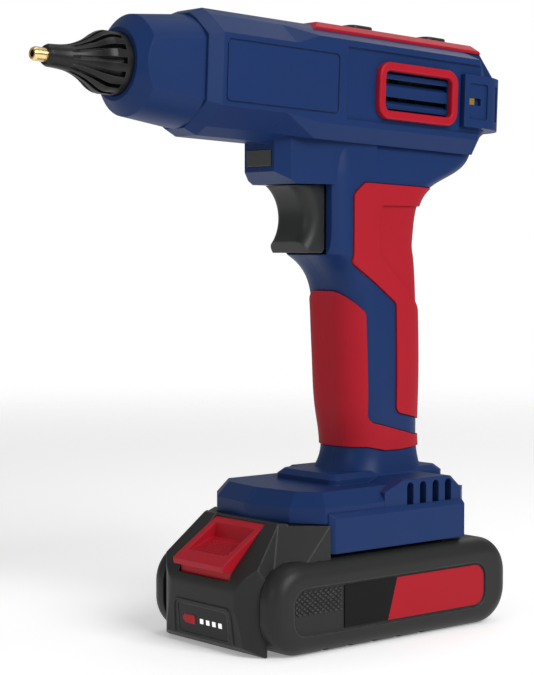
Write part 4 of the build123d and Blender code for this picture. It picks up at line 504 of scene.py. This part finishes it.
def dress(finish: Finish, names: Iterable[str]) -> None:
    """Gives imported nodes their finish.

    Args:
        finish: the finish.
        names: the nodes that take it.
    """
    for name in names:
        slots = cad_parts[name].data.materials
        slots.clear()
        slots.append(finish.material())
        LOG.info("dressed %s in %s", name, finish.name)


def place_piece(name: str, shape: bpy.types.ID, finish: Finish, body: Body) -> None:
    """Adds a piece to the scene, to ride on a body.

    Args:
        name: the piece's name.
        shape: its mesh or curve.
        finish: the piece's finish.
        body: the body that it moves with.
    """
    shape.materials.append(finish.material())
    piece = bpy.data.objects.new(name, shape)
    bpy.context.scene.collection.objects.link(piece)
    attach(piece, body.value)
    LOG.info("made %s", name)


def make_mesh(name: str, build: Callable[[bmesh.types.BMesh], None]) -> bpy.types.Mesh:
    """Makes a mesh with its faces turned outwards.

    Args:
        name: the mesh's name.
        build: fills an empty mesh, in metres.

    Returns:
        The mesh.
    """
    mesh = bpy.data.meshes.new(name)
    shape = bmesh.new()
    build(shape)
    bmesh.ops.recalc_face_normals(shape, faces=shape.faces)
    shape.to_mesh(mesh)
    shape.free()
    return mesh


def bridge(shape: bmesh.types.BMesh, rings: Sequence[Sequence[bmesh.types.BMVert]]) -> None:
    """Joins rings of vertices into a closed form with a flat top and bottom.

    Args:
        shape: the mesh.
        rings: rings of as many vertices each, from the bottom to the top.
    """
    for low, high in zip(rings, rings[1:]):
        for here in range(len(low)):
            there = (here + 1) % len(low)
            shape.faces.new((low[here], low[there], high[there], high[here]))
    shape.faces.new(rings[0])
    shape.faces.new(rings[-1])


@dataclass
class Housing:
    """The blue clamshell, its collar and its rear cap."""

    def build(self) -> None:
        """Dresses the shell and what holds it."""
        dress(BLUE, ("housing_left", "housing_right", "nose_collar", "rear_cap"))
        dress(STEEL, ("housing_screws",))
        dress(FLAT_BRASS, ("cap_catches",))


@dataclass
class Nose:
    """The nozzle, its rubber boot and the hot parts behind it."""

    def build(self) -> None:
        """Dresses the nose."""
        dress(BRASS, ("nozzle",))
        dress(BOOT_RUBBER, ("nozzle_boot",))
        dress(ALUMINIUM, ("melt_chamber",))
        dress(DARK, ("front_holder", "rear_holder", "heater_plates", "guide_channel"))
        dress(STEEL, ("thermostat",))
        dress(SILICONE, ("stick_sleeve",))


@dataclass
class Controls:
    """The red cover with its buttons and lamps, the vents, the work light and the boards."""

    def build(self) -> None:
        """Dresses the controls."""
        dress(RED, ("top_cover", "vent_frame_left", "vent_frame_right"))
        dress(TRIGGER_BLACK, ("front_button", "rear_button"))
        dress(DULL_LAMP, ("indicator_lenses",))
        dress(SMOKED, ("light_lens",))
        dress(BOARD, ("control_board", "light_board"))


@dataclass
class Grip:
    """The rubber panels of the handle."""

    def build(self) -> None:
        """Dresses the grips."""
        dress(RED_RUBBER, ("front_grip_left", "front_grip_right", "rear_grip_left", "rear_grip_right"))


@dataclass
class Feed:
    """The trigger and the pieces that it moves."""

    def build(self) -> None:
        """Dresses the trigger and the feed."""
        dress(TRIGGER_BLACK, ("trigger",))
        dress(
            STEEL,
            (
                "trigger_pin",
                "trigger_spring",
                "rocker",
                "rocker_pin",
                "gripper",
                "gripper_pin",
                "gripper_spring",
            ),
        )
        dress(DARK, ("carriage",))


@dataclass
class Battery:
    """The battery pack with its gauge, its fields and its release button."""

    half_width: float = 37.0
    field_depth: float = 0.9
    field_front: float = 49.0
    field_top: float = 24.7
    field_round: float = 6.0
    knurl_rear: float = 26.2
    knurl_low: float = 15.4
    knurl_width: float = 2.5
    knurl_height: float = 1.9
    knurl_rise: float = 0.45
    knurl_margin: float = 0.9
    knurl_foot: float = 0.94
    knurl_crown: float = 0.5
    sunk: float = 0.05
    pocket_front: Pair = (59.5, 33.6)
    pocket_rear: Pair = (47.0, 38.2)
    dot_radius: float = 0.42
    dot_step: float = 1.2
    dot_half: float = 7.8
    dot_start: float = 1.6
    dot_row_share: float = 0.87
    dot_reach: float = 0.72
    dot_sides: int = 8
    dot_dome: tuple[Pair, ...] = ((0.8, 0.2), (0.35, 0.32))
    rim_radius: float = 0.5
    rim_rounds: int = 3
    rim_middle: Point = (61.4, 0.0, 9.5)
    rim_up: Point = (1.2, 0.0, 13.0)
    rim_half: tuple[Pair, ...] = ((17.2, -6.0), (16.6, 3.6), (16.2, 5.6), (14.6, 6.9))

    def build(self) -> None:
        """Dresses the pack and adds its knurled patches, thumb dots and gauge rim."""
        dress(BLACK, ("pack_tray", "pack_head", "terminal_block"))
        dress(RED, ("release_button", "gauge_symbol"))
        dress(GLOSS_BLACK, ("gauge_window",))
        dress(LAMP, ("gauge_lights",))
        dress(LABEL, ("side_label_left", "side_label_right"))
        dress(STEEL, ("cells", "pack_screws", "release_spring"))
        dress(DARK, ("cell_holders",))
        dress(BOARD, ("pack_board",))
        dress(FLAT_BRASS, ("pack_contacts", "terminal_blades"))
        for side in Side:
            self.build_knurl(side)
        self.build_dots()
        self.build_rim()

    def knurl_places(self) -> list[Pair]:
        """Gives the middles of the knurl's diamonds, inside the field's rounded corner.

        Returns:
            Pairs of a place along the tool and a height.
        """
        places = []
        columns = int((self.field_front - self.knurl_rear) / (self.knurl_width / 2)) + 1
        rows = int((self.field_top - self.knurl_low) / (self.knurl_height / 2)) + 1
        corner = Vector((self.field_front - self.field_round, self.field_top - self.field_round))
        for column in range(columns):
            for row in range(rows):
                if (column + row) % 2:
                    continue
                along = self.knurl_rear + column * self.knurl_width / 2
                height = self.knurl_low + row * self.knurl_height / 2
                reach = Vector((max(along - corner.x, 0.0), max(height - corner.y, 0.0)))
                in_corner = reach.length < self.field_round - self.knurl_width / 2
                if in_corner and height < self.field_top - self.knurl_margin:
                    places.append((along, height))
        return places

    def build_knurl(self, side: Side) -> None:
        """Builds the diamond knurl in front of a side's label field.

        Args:
            side: the tool's side.
        """
        floor = self.half_width - self.field_depth

        def fill(shape: bmesh.types.BMesh) -> None:
            """Adds one cut-off pyramid for each diamond."""
            for along, height in self.knurl_places():
                rings = []
                for share, rise in ((self.knurl_foot, -self.sunk), (self.knurl_crown, self.knurl_rise)):
                    half = self.knurl_width / 2 * share
                    tall = self.knurl_height / 2 * share
                    corners = ((half, 0.0), (0.0, tall), (-half, 0.0), (0.0, -tall))
                    out = side.value * (floor + rise)
                    rings.append(
                        [shape.verts.new(Vector((along + dx, out, height + dz)) * MM) for dx, dz in corners]
                    )
                bridge(shape, rings)

        name = f"knurl_{side.name.lower()}"
        place_piece(name, make_mesh(name, fill), BLACK, Body.BATTERY)

    def build_dots(self) -> None:
        """Builds the rows of dots on the floor of the release button's pocket."""
        front = Vector((self.pocket_front[0], 0.0, self.pocket_front[1]))
        rear = Vector((self.pocket_rear[0], 0.0, self.pocket_rear[1]))
        way = (rear - front).normalized()
        up = Vector((way.z, 0.0, -way.x))
        across = Vector((0.0, 1.0, 0.0))
        row_step = self.dot_step * self.dot_row_share
        rows = int((rear - front).length * self.dot_reach / row_step)

        def fill(shape: bmesh.types.BMesh) -> None:
            """Adds one low dome for each dot."""
            for row in range(rows):
                count = int(2 * self.dot_half / self.dot_step) - row % 2
                for place in range(count + 1):
                    middle = front + way * (self.dot_start + row * row_step)
                    middle = middle + across * ((place - count / 2) * self.dot_step)
                    rings = []
                    for share, rise in ((1.0, -self.sunk), *self.dot_dome):
                        ring = []
                        for step in range(self.dot_sides):
                            turn = math.tau * step / self.dot_sides
                            spoke = way * math.cos(turn) + across * math.sin(turn)
                            place_on = middle + spoke * self.dot_radius * share + up * rise
                            ring.append(shape.verts.new(place_on * MM))
                        rings.append(ring)
                    bridge(shape, rings)

        place_piece("thumb_dots", make_mesh("thumb_dots", fill), RED, Body.RELEASE)

    def build_rim(self) -> None:
        """Builds the raised rim round the charge gauge."""
        middle = Vector(self.rim_middle)
        up = Vector(self.rim_up).normalized()
        path = [(-across, high) for across, high in self.rim_half]
        path.extend(reversed(self.rim_half))
        line = bpy.data.curves.new("gauge_rim", "CURVE")
        line.dimensions = "3D"
        line.bevel_depth = self.rim_radius * MM
        line.bevel_resolution = self.rim_rounds
        line.use_fill_caps = True
        run = line.splines.new("POLY")
        run.points.add(len(path) - 1)
        for point, (across, high) in zip(run.points, path):
            place = (middle + up * high + Vector((0.0, across, 0.0))) * MM
            point.co = (*place, 1.0)
        place_piece("gauge_rim", line, BLACK, Body.BATTERY)


@dataclass(frozen=True)
class SoftBox:
    """A square soft light: where it hangs, how wide it is and its power in watts."""

    name: str
    place: Point
    width: float
    power: float


@dataclass
class Studio:
    """The pale floor, the soft lights and the camera.

    Places and sizes are in metres, angles in degrees, and the lens and its sensor in millimetres.
    """

    floor_half: float = 1.3
    floor_clear: float = 0.5
    floor_drop: float = 0.0002
    floor_grey: float = 0.95
    floor_roughness: float = 0.8
    floor_specular: float = 0.2
    floor_glow: float = 0.25
    room_light: float = 0.3
    backdrop_light: float = 1.0
    boxes: tuple[SoftBox, ...] = (
        SoftBox("key_box", (0.0, 1.15, 0.85), 0.8, 14.0),
        SoftBox("top_box", (-0.1, 0.0, 1.4), 0.9, 3.0),
        SoftBox("front_box", (1.3, 0.1, 0.5), 0.5, 2.0),
        SoftBox("rear_box", (-1.1, -0.5, 0.9), 0.7, 1.5),
    )
    box_aim: Point = (0.0, 0.0, 0.12)
    eye: Point = (0.4798, 0.5352, 0.1467)
    turn: float = 40.0
    dip: float = 2.8
    lens: float = 100.0
    sensor: float = 36.0
    near: float = 0.01

    def build(self) -> None:
        """Builds the studio round the tool."""
        self.build_floor()
        self.build_lights()
        self.build_camera()

    def build_floor(self) -> None:
        """Lays a plain pale floor that fades into the room."""
        mesh = bpy.data.meshes.new("floor")
        half = self.floor_half
        level = -self.floor_drop
        corners = [(-half, -half, level), (half, -half, level), (half, half, level), (-half, half, level)]
        mesh.from_pydata(corners, [], [(0, 1, 2, 3)])
        paint = bpy.data.materials.new("pale_floor")
        paint.use_nodes = True
        tree = paint.node_tree
        shader = tree.nodes["Principled BSDF"]
        grey = self.floor_grey
        shader.inputs["Base Color"].default_value = (grey, grey, grey, 1.0)
        shader.inputs["Roughness"].default_value = self.floor_roughness
        shader.inputs["Specular IOR Level"].default_value = self.floor_specular
        shader.inputs["Emission Color"].default_value = (1.0, 1.0, 1.0, 1.0)
        shader.inputs["Emission Strength"].default_value = self.floor_glow
        place = tree.nodes.new("ShaderNodeTexCoord")
        reach = tree.nodes.new("ShaderNodeVectorMath")
        reach.operation = "LENGTH"
        fade = tree.nodes.new("ShaderNodeMapRange")
        fade.interpolation_type = "SMOOTHSTEP"
        fade.inputs["From Min"].default_value = self.floor_half
        fade.inputs["From Max"].default_value = self.floor_clear
        tree.links.new(place.outputs["Object"], reach.inputs[0])
        tree.links.new(reach.outputs["Value"], fade.inputs["Value"])
        tree.links.new(fade.outputs["Result"], shader.inputs["Alpha"])
        mesh.materials.append(paint)
        floor = bpy.data.objects.new("floor", mesh)
        bpy.context.scene.collection.objects.link(floor)

    def build_lights(self) -> None:
        """Hangs the soft boxes and sets the room's own light."""
        world = bpy.data.worlds.new("studio_room")
        world.use_nodes = True
        tree = world.node_tree
        room = tree.nodes["Background"]
        room.inputs["Color"].default_value = (1.0, 1.0, 1.0, 1.0)
        path = tree.nodes.new("ShaderNodeLightPath")
        level = tree.nodes.new("ShaderNodeMapRange")
        level.inputs["To Min"].default_value = self.room_light
        level.inputs["To Max"].default_value = self.backdrop_light
        tree.links.new(path.outputs["Is Camera Ray"], level.inputs["Value"])
        tree.links.new(level.outputs["Result"], room.inputs["Strength"])
        bpy.context.scene.world = world
        for box in self.boxes:
            lamp = bpy.data.lights.new(box.name, "AREA")
            lamp.shape = "SQUARE"
            lamp.size = box.width
            lamp.energy = box.power
            hung = bpy.data.objects.new(box.name, lamp)
            hung.location = box.place
            aim = Vector(self.box_aim) - Vector(box.place)
            hung.rotation_euler = aim.to_track_quat("-Z", "Y").to_euler()
            bpy.context.scene.collection.objects.link(hung)

    def build_camera(self) -> None:
        """Sets the camera where the photograph was taken from."""
        lens = bpy.data.cameras.new("camera")
        lens.lens = self.lens
        lens.sensor_width = self.sensor
        lens.clip_start = self.near
        turn = math.radians(self.turn)
        dip = math.radians(self.dip)
        way = Vector(
            (-math.sin(turn) * math.cos(dip), -math.cos(turn) * math.cos(dip), -math.sin(dip))
        )
        stand = bpy.data.objects.new("camera", lens)
        stand.location = self.eye
        stand.rotation_mode = "QUATERNION"
        stand.rotation_quaternion = way.to_track_quat("-Z", "Y")
        bpy.context.scene.collection.objects.link(stand)
        bpy.context.scene.camera = stand
        bpy.context.scene.view_settings.view_transform = "Standard"


def main() -> None:
    """Builds each sub-assembly in order and logs each one as it is built."""
    logging.basicConfig(level=logging.INFO, format="%(name)s: %(message)s")
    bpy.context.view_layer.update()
    for part in (Housing(), Nose(), Controls(), Grip(), Feed(), Battery(), Studio()):
        part.build()
        LOG.info("built %s", type(part).__name__)


if __name__ == "__main__":
    main()
